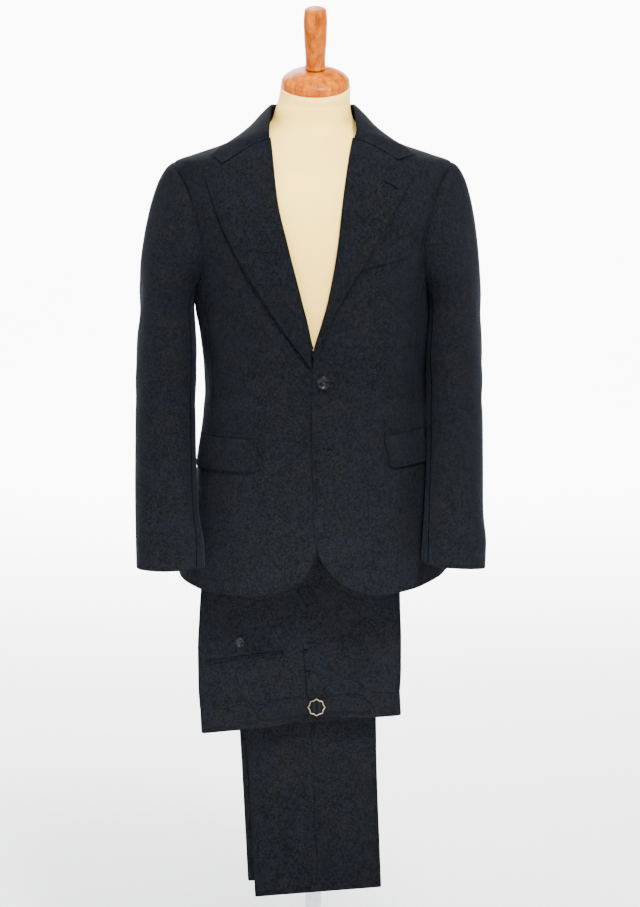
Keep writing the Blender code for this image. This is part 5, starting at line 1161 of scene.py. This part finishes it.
def sewing(pieces):
    """Pick stitches along the edges."""
    pick = []
    for side in ("left", "right"):
        line, _ = rail(pieces["lapel_" + side], "last", PICK_INSET, -PICK_DEPTH)
        pick += stitched(line, PICK_PITCH, PICK_LENGTH, wander=PICK_WANDER)
        line, _ = rail(pieces["front_" + side], "first", PICK_INSET, -PICK_DEPTH)
        keep = line[line[:, 2] < PICK_BELOW[side]]
        pick += stitched(keep, PICK_PITCH, PICK_LENGTH, wander=PICK_WANDER)
        line, _ = rail(pieces["front_" + side], "low", PICK_INSET, -PICK_DEPTH)
        pick += stitched(line[: len(line) // 2], PICK_PITCH, PICK_LENGTH, wander=PICK_WANDER)
        for edge in ("first", "last", "high"):
            line, _ = rail(pieces["flap_" + side], edge, 3.0 * MM, -PICK_DEPTH)
            pick += stitched(line, 3.4 * MM, PICK_LENGTH, 3.0 * MM)
    line, _ = rail(pieces["collar"], "last", PICK_INSET, -PICK_DEPTH)
    pick += stitched(line, PICK_PITCH, PICK_LENGTH, wander=PICK_WANDER)
    for edge in ("first", "last", "high"):
        line, _ = rail(pieces["breast_welt"], edge, 2.2 * MM, -PICK_DEPTH)
        pick += stitched(line, 3.0 * MM, PICK_LENGTH, 2.0 * MM)
    dashes("pick_stitches", pick, PICK_RADIUS, "thread")


# White basting on the wearer's right cuff, which is still unfinished. Columns: x, height at both ends.
BASTING = ((-0.2612, 0.8306, -0.2606, 0.8139), (-0.2602, 0.8043, -0.2596, 0.7895),
           (-0.2590, 0.7806, -0.2583, 0.7666), (-0.2580, 0.7623, -0.2577, 0.7482),
           (-0.2511, 0.7531, -0.2457, 0.7531), (-0.2434, 0.7522, -0.2380, 0.7519))
# Line of each cuff's vent, drawn as a near-black cord of painted shade: x and height at its top and foot.
VENT_LINES = {"top_sleeve_left": ((0.2401, 0.8236), (0.2403, 0.7480)),
              "top_sleeve_right": ((-0.2575, 0.8320), (-0.2545, 0.7480))}
# Bar tacks over the side seam. Columns: height, length.
BAR_TACKS = ((0.6535, 7.0 * MM), (0.6020, 6.0 * MM), (0.5690, 8.0 * MM))
BASTING_LIFT, BASTING_RADIUS = 0.25 * MM, 0.5 * MM
EDGE_RADIUS, TACK_RADIUS = 0.55 * MM, 0.26 * MM
# Depth and radius of the near-black cord painted as shade in the armhole gap.
ARMHOLE_SHADE_DEPTH, ARMHOLE_SHADE_RADIUS = 1.9 * MM, 1.6 * MM
SEAM_DEPTH, SEAM_RADIUS = 0.9 * MM, 0.8 * MM
BINDING_HALF, BINDING_RADIUS = 2.2 * MM, 0.62 * MM
# Seams closed by a near-black thread, painted shade along the seam lines. Columns: name of the piece without
# its side, its edges.
SEAM_EDGES = (("back_", ("first",)), ("side_panel_", ("first", "last")), ("top_sleeve_", ("first", "last")))


def trims(pieces):
    """Basting, near-black cords of painted shade along the cuff vents, strap outlines, pocket lips and leg
    and seat side seams, a near-black cord of painted shade in the armhole gap, bar tacks, near-black threads
    that close the jacket's seam lines as painted shade, and the bindings of the buckles."""
    cuff = pieces["top_sleeve_right"]
    white = []
    for x0, z0, x1, z1 in BASTING:
        white += cord(touching(cuff, finer_line((x0, z0), (x1, z1), step=6 * MM), BASTING_LIFT))
    dashes("basting", white, BASTING_RADIUS, "basting")
    # Near-black cords of painted shade: along the cuff vents, the seat's side seam, each strap's outline,
    # the pocket's slit and edges, and the leg seams.
    painted_shade = []
    for name, ends in VENT_LINES.items():
        painted_shade += cord(touching(pieces[name], finer_line(*ends), 0.0))
    tacks = []
    for label, face in (("near", -1.0), ("far", 1.0)):
        surface = SEAT_Y + face * (SEAT_HALF - 0.15 * MM)
        heights = np.linspace(SEAT[0][0], SEAT[-1][0], 40)
        seam = np.stack([smooth(SEAT[:, [0, 2]], heights)[:, 0], 0 * heights + surface, heights], axis=-1)
        # Painted shade along the seat's side seam.
        painted_shade += cord(seam)
        for z, long in BAR_TACKS:
            x = float(smooth(SEAT[:, [0, 2]], z)[0])
            for k in range(5):
                level = z + (k - 2) * 0.35 * MM
                tacks.append((np.array((x + 0.5 * MM, surface + face * 0.5 * MM, level)),
                              np.array((x + long, surface + face * 0.4 * MM, level))))
        for side in STRAPS:
            made = pieces["strap_%s_%s" % (side, label)]
            # Painted shadow line round each strap's outline, at its foot.
            grid = made["points"] - made["normals"] * STRAP_THICK * 0.75
            painted_shade += cord(np.concatenate([grid[0, 4:], grid[1:-1, -1], grid[-1, :3:-1]]))
            for edge in ("low", "high"):
                line, _ = rail(made, edge, 2.0 * MM, 0.0)
                tacks += stitched(line, 2.6 * MM, 1.5 * MM, 8 * MM)
        low, high = POCKET
        level = surface + face * (POCKET_GAP + POCKET_THICK * 0.45)
        # Painted shadow lines along the pocket's slit and along its upper and lower edges.
        for drop in (POCKET_JET / 2, -0.4 * MM, POCKET_JET + 0.2 * MM):
            spots = finer_line((low[0] + POCKET_END, low[1] - drop), (high[0], high[1] - drop), step=8 * MM)
            painted_shade += cord([np.array((x, level, z)) for x, z in spots])
        for k in range(6):
            x = high[0] + 0.4 * MM + 0.25 * MM * k
            tacks.append((np.array((x, level, high[1] + 0.8 * MM)),
                          np.array((x, level, high[1] - POCKET_JET - 0.8 * MM))))
    for layer in ("over", "under"):
        stations, face = leg_stations(layer)
        rows = smooth(stations, np.linspace(0.0, stations[len(BACK_DROPS) - 1, 0], 60))
        y, z, ny, nz, half, _, seam = rows[:, :7].T
        depth = -(half - LEG_WALL / 2) * face
        # Painted shade along each leg's seam.
        painted_shade += cord(np.stack([seam, y + ny * depth, z + nz * depth], axis=-1))
    dashes("painted_shade_edges", painted_shade, EDGE_RADIUS, "thread")
    # Near-black cord just under the armhole seam: painted shade filling the gap between sleeve and body.
    shade_cord = []
    turns = np.linspace(0.0, 1.0, 121)
    for side in SIGN:
        angle, z = armhole(turns)
        shade_cord += cord(on_body(angle, z, -ARMHOLE_SHADE_DEPTH) * np.array((SIGN[side], 1.0, 1.0)))
    dashes("armhole_shade_cord", shade_cord, ARMHOLE_SHADE_RADIUS, "thread")
    dashes("bar_tacks", tacks, TACK_RADIUS, "thread")
    # Near-black threads just under the panels' edges: painted shade along the jacket's seam lines.
    seams = []
    for name, edges in SEAM_EDGES:
        for side in SIGN:
            for edge in edges:
                line, _ = rail(pieces[name + side], edge, 0.0, -SEAM_DEPTH)
                seams += cord(line)
    dashes("seam_shade_threads", seams, SEAM_RADIUS, "thread")
    bars = []
    for face in (-1.0, 1.0):
        y = SEAT_Y + face * (SEAT_HALF + STRAP_LIFT + STRAP_THICK + BUCKLE_THICK / 2 + SEAM_GAP)
        reach = BUCKLE_RADIUS * 0.72
        for x in (-0.27, 0.27):
            for k in range(22):
                z = BUCKLE_AT[1] + between(-reach, reach, k / 21)
                middle = BUCKLE_AT[0] + BUCKLE_RADIUS * x
                bars.append((np.array((middle - BINDING_HALF, y, z)),
                             np.array((middle + BINDING_HALF, y, z + 0.3 * MM))))
    dashes("buckle_bindings", bars, BINDING_RADIUS, "strap thread")


def buttonhole(a, b, surface, pairs, width=1.5 * MM, pitch=0.55 * MM):
    """Close stitches across both lips of a buttonhole between two spots of a surface."""
    a, b = np.array(a), np.array(b)
    long = np.linalg.norm(b - a)
    along = (b - a) / long
    side = np.array((-along[1], along[0]))
    for distance in np.arange(0.0, long, pitch):
        spot = a + along * distance
        eye = 1.0 + 0.5 * math.exp(-(distance / (2.2 * MM)) ** 2)
        for way in (-1, 1):
            near, far = spot + side * way * 0.18 * MM, spot + side * way * width * eye
            pairs.append((surface(near, 0.25 * MM), surface(far, 0.02 * MM)))
    for distance in np.arange(-1.0 * MM, 1.05 * MM, pitch):
        pairs.append((surface(b + side * distance - along * 0.3 * MM, 0.3 * MM),
                      surface(b + side * distance + along * 1.2 * MM, 0.05 * MM)))


def buttonholes():
    pairs = []

    def on_lapel(spot, lift):
        rise = between(LAPEL_RISE[2][1], LAPEL_RISE[3][1], 0.75)
        return on_front("left", spot[0], spot[1], rise + lift)[0]

    def on_edge(spot, lift):
        return on_front("left", spot[0], spot[1], lift)[0]

    buttonhole((0.1055, 1.3196), (0.1245, 1.3085), on_lapel, pairs, 1.0 * MM)
    buttonhole((0.0130, 0.9208), (0.0325, 0.9228), on_edge, pairs, 0.9 * MM)
    buttonhole((0.0050, 1.0226), (0.0290, 1.0226), on_edge, pairs)
    dashes("buttonhole_stitches", pairs, 0.24 * MM, "thread")


def hexed(value):
    """Linear colour of a display colour from 0 to 255."""
    return tuple(((c / 255.0 + 0.055) / 1.055) ** 2.4 if c > 10 else c / 255.0 / 12.92
                 for c in value) + (1.0,)


class Nodes:
    """Short way to write a material's nodes."""

    def __init__(self, name, **sockets):
        self.look = bpy.data.materials.new(name)
        self.look.use_nodes = True
        self.tree = self.look.node_tree
        self.shader = self.tree.nodes["Principled BSDF"]
        for socket, value in sockets.items():
            self.shader.inputs[socket.replace("_", " ")].default_value = value

    def add(self, kind, settings=(), **inputs):
        node = self.tree.nodes.new(kind)
        for key, value in dict(settings).items():
            setattr(node, key, value)
        for key, value in inputs.items():
            socket = node.inputs[int(key[1:])] if key[0] == "i" and key[1:].isdigit() else node.inputs[
                key.replace("_", " ")]
            if isinstance(value, bpy.types.NodeSocket):
                self.tree.links.new(value, socket)
            else:
                socket.default_value = value
        return node

    def out(self, kind, name, settings=(), **inputs):
        return self.add(kind, settings, **inputs).outputs[name]

    def noise(self, vector, scale, detail=2.0, roughness=0.5):
        return self.out("ShaderNodeTexNoise", "Fac", Vector=vector, Scale=scale, Detail=detail,
                        Roughness=roughness)

    def mapped(self, fac, low, high, new_low=0.0, new_high=1.0):
        return self.out("ShaderNodeMapRange", "Result", i0=fac, i1=low, i2=high, i3=new_low, i4=new_high)

    def math(self, operation, a, b=0.0):
        return self.out("ShaderNodeMath", "Value", {"operation": operation}, i0=a, i1=b)

    def mix(self, fac, a, b, blend="MIX"):
        return self.out("ShaderNodeMixRGB", "Color", {"blend_type": blend}, Fac=fac, Color1=a, Color2=b)

    def ramp(self, fac, *stops):
        node = self.add("ShaderNodeValToRGB", Fac=fac)
        points = node.color_ramp.elements
        while len(points) < len(stops):
            points.new(0.5)
        for point, (place, colour) in zip(points, stops):
            point.position, point.color = place, colour
        return node.outputs["Color"]

    def place(self):
        return self.out("ShaderNodeTexCoord", "Object")

    def bump(self, height, distance, strength=1.0, under=None):
        extra = {} if under is None else {"Normal": under}
        return self.out("ShaderNodeBump", "Normal", Height=height, Distance=distance, Strength=strength,
                        **extra)

    def use(self, **sockets):
        for socket, value in sockets.items():
            self.tree.links.new(value, self.shader.inputs[socket.replace("_", " ")])
        return self.look


TWILL_PITCH = 1.3 * MM
WAVE_PER_METRE = 0.444        # scale of a diagonal wave texture whose bands are a metre apart


def wool(name, base, fleck, cool, warm):
    """Mottled wool twill: fine light flecks over a dark ground, with slow changes of shade."""
    made = Nodes(name, Roughness=0.92, Specular_IOR_Level=0.04, Sheen_Weight=0.02, Sheen_Roughness=0.5,
                 Sheen_Tint=hexed((150, 165, 200)))
    at, cloth = made.place(), made.out("ShaderNodeUVMap", "UV", {"uv_map": "Cloth"})
    ground = made.mix(made.mapped(made.noise(at, 22.0, 3.0), 0.50, 0.66, 0.0, 0.6), base, cool)
    shifted = made.out("ShaderNodeMapping", "Vector", Vector=at, Location=(3.1, 1.7, 0.4))
    ground = made.mix(made.mapped(made.noise(shifted, 26.0, 3.0), 0.52, 0.66, 0.0, 0.5), ground, warm)
    mottle = made.noise(at, 270.0, 2.0, 0.65)
    ground = made.mix(made.mapped(mottle, 0.34, 0.68, 0.0, 0.42), ground, fleck)
    grain = made.noise(at, 560.0, 1.5, 0.6)
    ground = made.mix(made.mapped(grain, 0.60, 0.76, 0.0, 0.75), ground, fleck)
    twill = made.out("ShaderNodeTexWave", "Fac", {"wave_type": "BANDS", "bands_direction": "DIAGONAL"},
                     Vector=cloth, Scale=WAVE_PER_METRE / TWILL_PITCH, Distortion=1.5, Detail=2.0,
                     Detail_Scale=3.0)
    ground = made.mix(made.math("MULTIPLY", twill, 0.5), ground, made.mix(0.7, ground, (0, 0, 0, 1)))
    bump = made.bump(twill, 0.14 * MM, 0.8)
    bump = made.bump(made.noise(at, 430.0, 3.0, 0.6), 0.30 * MM, 0.7, bump)
    bump = made.bump(made.noise(at, 36.0, 2.0), 1.6 * MM, 0.30, bump)
    return made.use(Base_Color=ground, Normal=bump)


def thread_look(name, colour, light, shine=0.15):
    made = Nodes(name, Roughness=0.9, Specular_IOR_Level=shine)
    wave = made.out("ShaderNodeTexWave", "Fac", {"bands_direction": "DIAGONAL"}, Vector=made.place(),
                    Scale=900.0)
    return made.use(Base_Color=made.mix(wave, colour, light), Normal=made.bump(wave, 0.05 * MM))


def jersey(name, base, shade):
    """Fine stretched jersey over a padded form."""
    made = Nodes(name, Roughness=0.70, Specular_IOR_Level=0.15)
    at = made.place()
    slow = made.noise(at, 9.0, 3.0)
    colour = made.mix(made.mapped(slow, 0.35, 0.7, 0.0, 0.8), base, shade)
    colour = made.mix(made.mapped(made.noise(at, 900.0), 0.4, 0.7, 0.0, 0.25), colour, shade)
    rib = made.out("ShaderNodeTexWave", "Fac", {"bands_direction": "X"}, Vector=at, Scale=260.0,
                   Distortion=0.6)
    bump = made.bump(rib, 0.05 * MM, 0.5)
    bump = made.bump(made.noise(at, 700.0), 0.08 * MM, 0.5, bump)
    return made.use(Base_Color=colour, Normal=bump)


def wood(name):
    """Varnished honey-coloured wood, with rings stretched along the handle."""
    made = Nodes(name, Roughness=0.34, Specular_IOR_Level=0.05, Coat_Weight=0.03, Coat_Roughness=0.12)
    at = made.out("ShaderNodeMapping", "Vector", Vector=made.place(), Scale=(1.0, 1.0, 0.16),
                  Rotation=(0.37, 0.05, 0.0))
    rings = made.noise(at, 95.0, 6.0, 0.62)
    fine = made.noise(at, 620.0, 3.0, 0.6)
    grain = made.math("ADD", made.math("MULTIPLY", rings, 0.75), made.math("MULTIPLY", fine, 0.25))
    colour = made.ramp(grain, (0.34, hexed((104, 44, 0))), (0.48, hexed((152, 72, 0))),
                       (0.64, hexed((190, 104, 0))))
    rough = made.mapped(fine, 0.3, 0.7, 0.28, 0.42)
    return made.use(Base_Color=colour, Roughness=rough, Normal=made.bump(fine, 0.06 * MM, 0.4))


def metal(name, dark, light, roughness, stretch, metallic=1.0):
    """Brushed or painted metal, with faint wear."""
    made = Nodes(name, Metallic=metallic)
    at = made.out("ShaderNodeMapping", "Vector", Vector=made.place(), Scale=stretch)
    brush = made.noise(at, 240.0, 4.0, 0.6)
    wear = made.noise(made.place(), 26.0, 4.0, 0.6)
    colour = made.mix(made.mapped(wear, 0.35, 0.7), dark, light)
    rough = made.mapped(brush, 0.3, 0.7, roughness - 0.06, roughness + 0.08)
    return made.use(Base_Color=colour, Roughness=rough, Normal=made.bump(brush, 0.03 * MM, 0.5))


def horn(name):
    """Dark horn with paler veins."""
    made = Nodes(name, Roughness=0.26, Specular_IOR_Level=0.09, Coat_Weight=0.03, Coat_Roughness=0.08)
    at = made.place()
    vein = made.noise(at, 210.0, 4.0, 0.7)
    colour = made.ramp(vein, (0.42, hexed((5, 5, 6))), (0.58, hexed((16, 16, 17))),
                       (0.76, hexed((44, 43, 42))))
    return made.use(Base_Color=colour, Normal=made.bump(vein, 0.03 * MM, 0.4))


def backdrop_look():
    """Matt near-white."""
    made = Nodes("pale backdrop", Roughness=0.9)
    shade = made.noise(made.place(), 1.3, 2.0)
    return made.use(Base_Color=made.mix(shade, hexed((246, 246, 247)), hexed((250, 250, 250))))


LOOKS = {
    WOOL_LOOK: wool("navy wool", hexed((4, 5, 6)), hexed((31, 33, 37)), hexed((3, 7, 14)), hexed((9, 8, 6))),
    COTTON_LOOK: jersey("cream jersey", hexed((252, 212, 108)), hexed((244, 200, 94))),
    # Near-black, darker than the navy cloth: it makes the stitches read as shaded dimples, and the cords and
    # seam threads drawn with it are painted shade in slits, seams and edges.
    "thread": thread_look("near-black thread with painted seam shade", hexed((1, 1, 2)), hexed((4, 4, 6)), 0.01),
    "strap thread": thread_look("charcoal thread", hexed((6, 7, 8)), hexed((24, 26, 30)), 0.04),
    "button thread": thread_look("grey button thread", hexed((26, 27, 30)), hexed((52, 54, 58)), 0.05),
    "basting": thread_look("white basting cotton", hexed((225, 226, 228)), hexed((250, 250, 250))),
    "wood": wood("varnished honey wood"),
    "steel": metal("brushed steel", hexed((150, 151, 154)), hexed((196, 197, 199)), 0.32, (1.0, 1.0, 0.05)),
    "base": metal("painted base", hexed((44, 45, 48)), hexed((58, 59, 62)), 0.46, (1.0, 1.0, 1.0), 0.0),
    "brass": metal("brass", hexed((104, 90, 60)), hexed((190, 176, 142)), 0.30, (1.0, 1.0, 1.0)),
    "horn": horn("dark horn"),
}


def bust():
    """Limbless form under the jacket, closed, with a flat foot and a tilted top."""
    heights = np.interp(np.linspace(0, 1, 110), *zip(*BUST_SPACING))
    angle = np.linspace(0, 360, 96, endpoint=False)[None, :]
    z = heights[:, None] + 0 * angle
    off_seam = (abs(abs(angle % 360.0 - 180.0) - 90.0) / SHOULDER_BAND) ** 2
    ease = SHOULDER_EASE * (1 - np.exp(-off_seam)) * ramp(*SHOULDER_BAND_Z, z)
    ease = ease * ramp(BUST_TILT_FROM, NECK_SEAM_Z, z)
    places = on_body(angle + 0 * z, z, -(smooth(BODY, z)[..., 3] + ease)[..., None])
    places[0, :, 2] = BUST_BOTTOM
    tilt = ramp(BUST_TILT_FROM, NECK_TOP[2], z)
    places[..., 2] += tilt * (places[..., 1] - CENTRE_Y) * math.tan(NECK_TILT)
    places[..., 0] += tilt * NECK_TOP[0]
    places[..., 1] += tilt * (NECK_TOP[1] - CENTRE_Y)
    index = np.arange(z.size).reshape(z.shape)
    after = np.roll(index, -1, axis=1)
    quads = np.stack([index[:-1], after[:-1], after[1:], index[1:]], axis=-1).reshape(-1, 4).tolist()
    ends = [index[0, ::-1].tolist(), index[-1].tolist()]
    return mesh_piece("bust_cover", places.reshape(-1, 3), quads + ends, LOOKS[COTTON_LOOK],
                      ["bust_form"], smooth_angle=60)


def neck_and_handle():
    """Turned wooden cap and handle."""
    top = Vector(NECK_TOP)
    tilt = Matrix.Rotation(NECK_TILT, 4, "X")
    axis = Vector((0.0, -math.sin(NECK_TILT), math.cos(NECK_TILT)))
    dome = [(0.01 * MM, CAP_HEIGHT)]
    dome += [(CAP_RADIUS * math.sin(t), CAP_RIM + (CAP_HEIGHT - CAP_RIM) * math.cos(t) ** 1.25)
             for t in np.radians(np.linspace(8, 84, 20))]
    rim = 1.6 * MM
    dome += arc(rim, rim, CAP_RADIUS - rim, CAP_RIM - rim, 60, 0, 6)
    dome += arc(rim, rim, CAP_RADIUS - rim, rim, 0, -80, 6)
    turned("wooden_cap", dome, 96, "wood", "wood", ["neck_cap"],
           Matrix.Translation(top + axis * SEAM_GAP) @ tilt)
    length = HANDLE_LENGTH
    handle = [(0.01 * MM, length), (11.0 * MM, length - 0.1 * MM)]
    handle += arc(5.5 * MM, 5.0 * MM, 11.2 * MM, length - 5.1 * MM, 85, 0, 8)
    handle += [(float(smooth(HANDLE_SHAPE, share)[0]), share * length)
               for share in np.linspace(0.92, 0.075, 26)]
    handle += arc(1.7 * MM, 2.6 * MM, 14.4 * MM, 2.7 * MM, 60, -80, 9)
    foot = top + axis * (CAP_HEIGHT + 2 * SEAM_GAP)
    turned("wooden_handle", handle, 64, "wood", "wood", ["neck_handle"], Matrix.Translation(foot) @ tilt)


def buckle(face, label):
    """Scalloped ring of one side adjuster."""
    surface = SEAT_Y + face * SEAT_HALF
    y = surface + face * (STRAP_LIFT + STRAP_THICK + BUCKLE_THICK / 2 + SEAM_GAP)
    wire_x, wire_y = 0.7 * MM, 0.9 * MM
    turn = np.linspace(0, 2 * np.pi, 128, endpoint=False)
    lobe = 1.0 - 0.13 * abs(np.sin(turn * BUCKLE_LOBES / 2)) ** 1.4 + 0.02 * np.cos(turn * BUCKLE_LOBES * 3)
    radius = (BUCKLE_RADIUS - wire_x) * lobe
    around = np.linspace(0, 2 * np.pi, 12, endpoint=False)[:, None]
    ring = np.stack([(radius + wire_x * np.cos(around)) * np.cos(turn), wire_y * np.sin(around) + 0 * turn,
                     (radius + wire_x * np.cos(around)) * np.sin(turn)], axis=-1)
    index = np.arange(ring[..., 0].size).reshape(ring.shape[:2])
    down, over = np.roll(index, -1, axis=0), np.roll(index, -1, axis=1)
    quads = np.stack([index, down, np.roll(down, -1, axis=1), over], axis=-1).reshape(-1, 4).tolist()
    places = ring.reshape(-1, 3).tolist()
    return mesh_piece("buckle_ring_" + label, np.array(places) + (BUCKLE_AT[0], y, BUCKLE_AT[1]), quads,
                      LOOKS["brass"], ["buckle_" + label], smooth_angle=60)


def buttons():
    """Jacket and pocket buttons with the thread that holds them."""
    thread = []
    for name, (x, z), radius, thick, side, gap in (
            ("button_upper", BUTTON_AT, BUTTON_RADIUS, BUTTON_THICK, "left", BUTTON_GAP),
            ("button_lower", (-LOWER_BUTTON_AT[0], LOWER_BUTTON_AT[1]), LOWER_BUTTON_RADIUS,
             LOWER_BUTTON_THICK, "right", LOWER_BUTTON_GAP)):
        place, normal = on_front(side, x, z, gap)
        button(name + "_horn", radius, thick, facing(place, normal, 0.35), [name], thread)
    for face, label in ((-1.0, "near"), (1.0, "far")):
        x, z = POCKET_BUTTON_AT
        place = (x, SEAT_Y + face * (SEAT_HALF + POCKET_GAP), z)
        button("pocket_button_%s_horn" % label, POCKET_BUTTON_RADIUS, POCKET_BUTTON_THICK,
               facing(place, (0.0, face, 0.0), 0.2), ["pocket_button_" + label], thread)
    dashes("button_threads", thread, 0.45 * MM, "button thread")


STAND_LOOKS = {"pole": "steel", "base": "base", "bar_clamp": "steel", "trouser_bar": "steel"}


def carried_over():
    """Finish of the model's own nodes that stay."""
    for node, look in STAND_LOOKS.items():
        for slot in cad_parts[node].material_slots:
            slot.material = LOOKS[look]


CAMERA_AT = (0.01085, -4.1687, 1.4099)
CAMERA_TILT, CAMERA_LENS, CAMERA_SENSOR = 83.0, 107.55, 36.0   # degrees, mm, mm
FLOOR_RADIUS, FLOOR_BEND, FLOOR_TOP, FLOOR_SIDES = 9.0, 2.0, 6.0, 64
SKY_STRENGTH = 0.20


def hang_lamp(data, place, target):
    lamp = bpy.data.objects.new(data.name, data)
    lamp.location = place
    lamp.rotation_euler = (Vector(target) - Vector(place)).to_track_quat("-Z", "Y").to_euler()
    bpy.context.scene.collection.objects.link(lamp)


def studio():
    """Seamless pale backdrop, soft lights and the camera at the photograph's angle."""
    floor_radius, bend, top, sides = FLOOR_RADIUS, FLOOR_BEND, FLOOR_TOP, FLOOR_SIDES
    profile = [(0.001, 0.0), (floor_radius - bend, 0.0)]
    profile += [(floor_radius - bend + bend * math.sin(t), bend - bend * math.cos(t))
                for t in np.radians(np.linspace(6, 90, 15))] + [(floor_radius, top)]
    turn = np.linspace(0, 2 * np.pi, sides, endpoint=False)
    places = [(r * math.cos(t), r * math.sin(t), z) for r, z in profile for t in turn]
    faces = [(k * sides + i, k * sides + (i + 1) % sides,
              (k + 1) * sides + (i + 1) % sides, (k + 1) * sides + i)
             for k in range(len(profile) - 1) for i in range(sides)]
    data = bpy.data.meshes.new("backdrop")
    data.from_pydata(places, [], faces)
    data.shade_smooth()
    data.materials.append(backdrop_look())
    floor = bpy.data.objects.new("backdrop", data)
    bpy.context.scene.collection.objects.link(floor)

    world = bpy.data.worlds.new("studio")
    world.use_nodes = True
    sky = world.node_tree.nodes["Background"]
    sky.inputs["Color"].default_value = (1.0, 1.0, 1.0, 1.0)
    sky.inputs["Strength"].default_value = SKY_STRENGTH
    bpy.context.scene.world = world
    # Columns: name, place, what it points at, size, power in watts, colour.
    white, cool = (1.0, 1.0, 1.0), (0.72, 0.84, 1.0)
    for name, place, target, size, power, colour in (
            ("key", (0.8, -2.5, 3.9), (0.0, 0.0, 0.85), 0.8, 450.0, white),
            ("top", (-0.5, -1.7, 4.5), (0.0, 0.0, 0.9), 1.0, 110.0, white),
            ("fill", (-2.2, -2.6, 2.2), (0.0, 0.0, 0.8), 1.4, 48.0, white),
            ("rim right", (2.8, -0.4, 2.2), (0.0, 0.0, 1.0), 1.2, 56.0, cool),
            ("rim left", (-2.8, -0.4, 2.2), (0.0, 0.0, 1.0), 1.2, 40.0, cool),
            ("back", (-0.8, 2.6, 3.6), (0.0, 0.0, 0.9), 1.6, 170.0, white),
            ("wall left", (-2.0, 5.4, 4.2), (-1.2, 8.8, 0.3), 2.6, 1200.0, white),
            ("wall right", (2.0, 5.4, 4.2), (1.2, 8.8, 0.3), 2.6, 1200.0, white)):
        data = bpy.data.lights.new(name, "AREA")
        data.size, data.energy, data.color = size, power, colour
        hang_lamp(data, place, target)
    # A narrow beam on the trousers under the jacket.
    data = bpy.data.lights.new("low beam", "SPOT")
    data.energy, data.spot_size, data.spot_blend = 2400.0, math.radians(7.0), 1.0
    data.shadow_soft_size = 0.25
    hang_lamp(data, (0.25, -3.4, 0.95), (-0.015, -0.06, 0.635))

    data = bpy.data.cameras.new("camera")
    data.sensor_width = CAMERA_SENSOR
    data.lens = CAMERA_LENS
    camera = bpy.data.objects.new("camera", data)
    camera.location = CAMERA_AT
    camera.rotation_euler = (math.radians(CAMERA_TILT), 0.0, 0.0)
    bpy.context.scene.collection.objects.link(camera)
    bpy.context.scene.camera = camera


def dress():
    """Every piece of cloth, then what is sewn to it."""
    pieces = {}
    for side in ("left", "right"):
        pieces["front_" + side] = front(side)
        pieces["side_panel_" + side] = side_panel(side)
        pieces["back_" + side] = back(side)
        pieces["lapel_" + side] = lapel(side)
        pieces["top_sleeve_" + side] = sleeve_part("top_sleeve", side)
        sleeve_part("under_sleeve", side)
        pieces["flap_" + side] = flap(side)
    pieces["collar"] = collar()
    pieces["breast_welt"] = breast_welt()
    for layer, label, face in (("over", "near", -1.0), ("under", "far", 1.0)):
        leg_panel(layer, "front", label)
        leg_panel(layer, "back", label)
        waistband(label, face)
        pieces.update(zip(("strap_left_" + label, "strap_right_" + label), straps(face, label)))
        back_pocket(face, label)
        buckle(face, label)
    sewing(pieces)
    trims(pieces)
    buttonholes()
    buttons()


bust()
neck_and_handle()
dress()
carried_over()
studio()
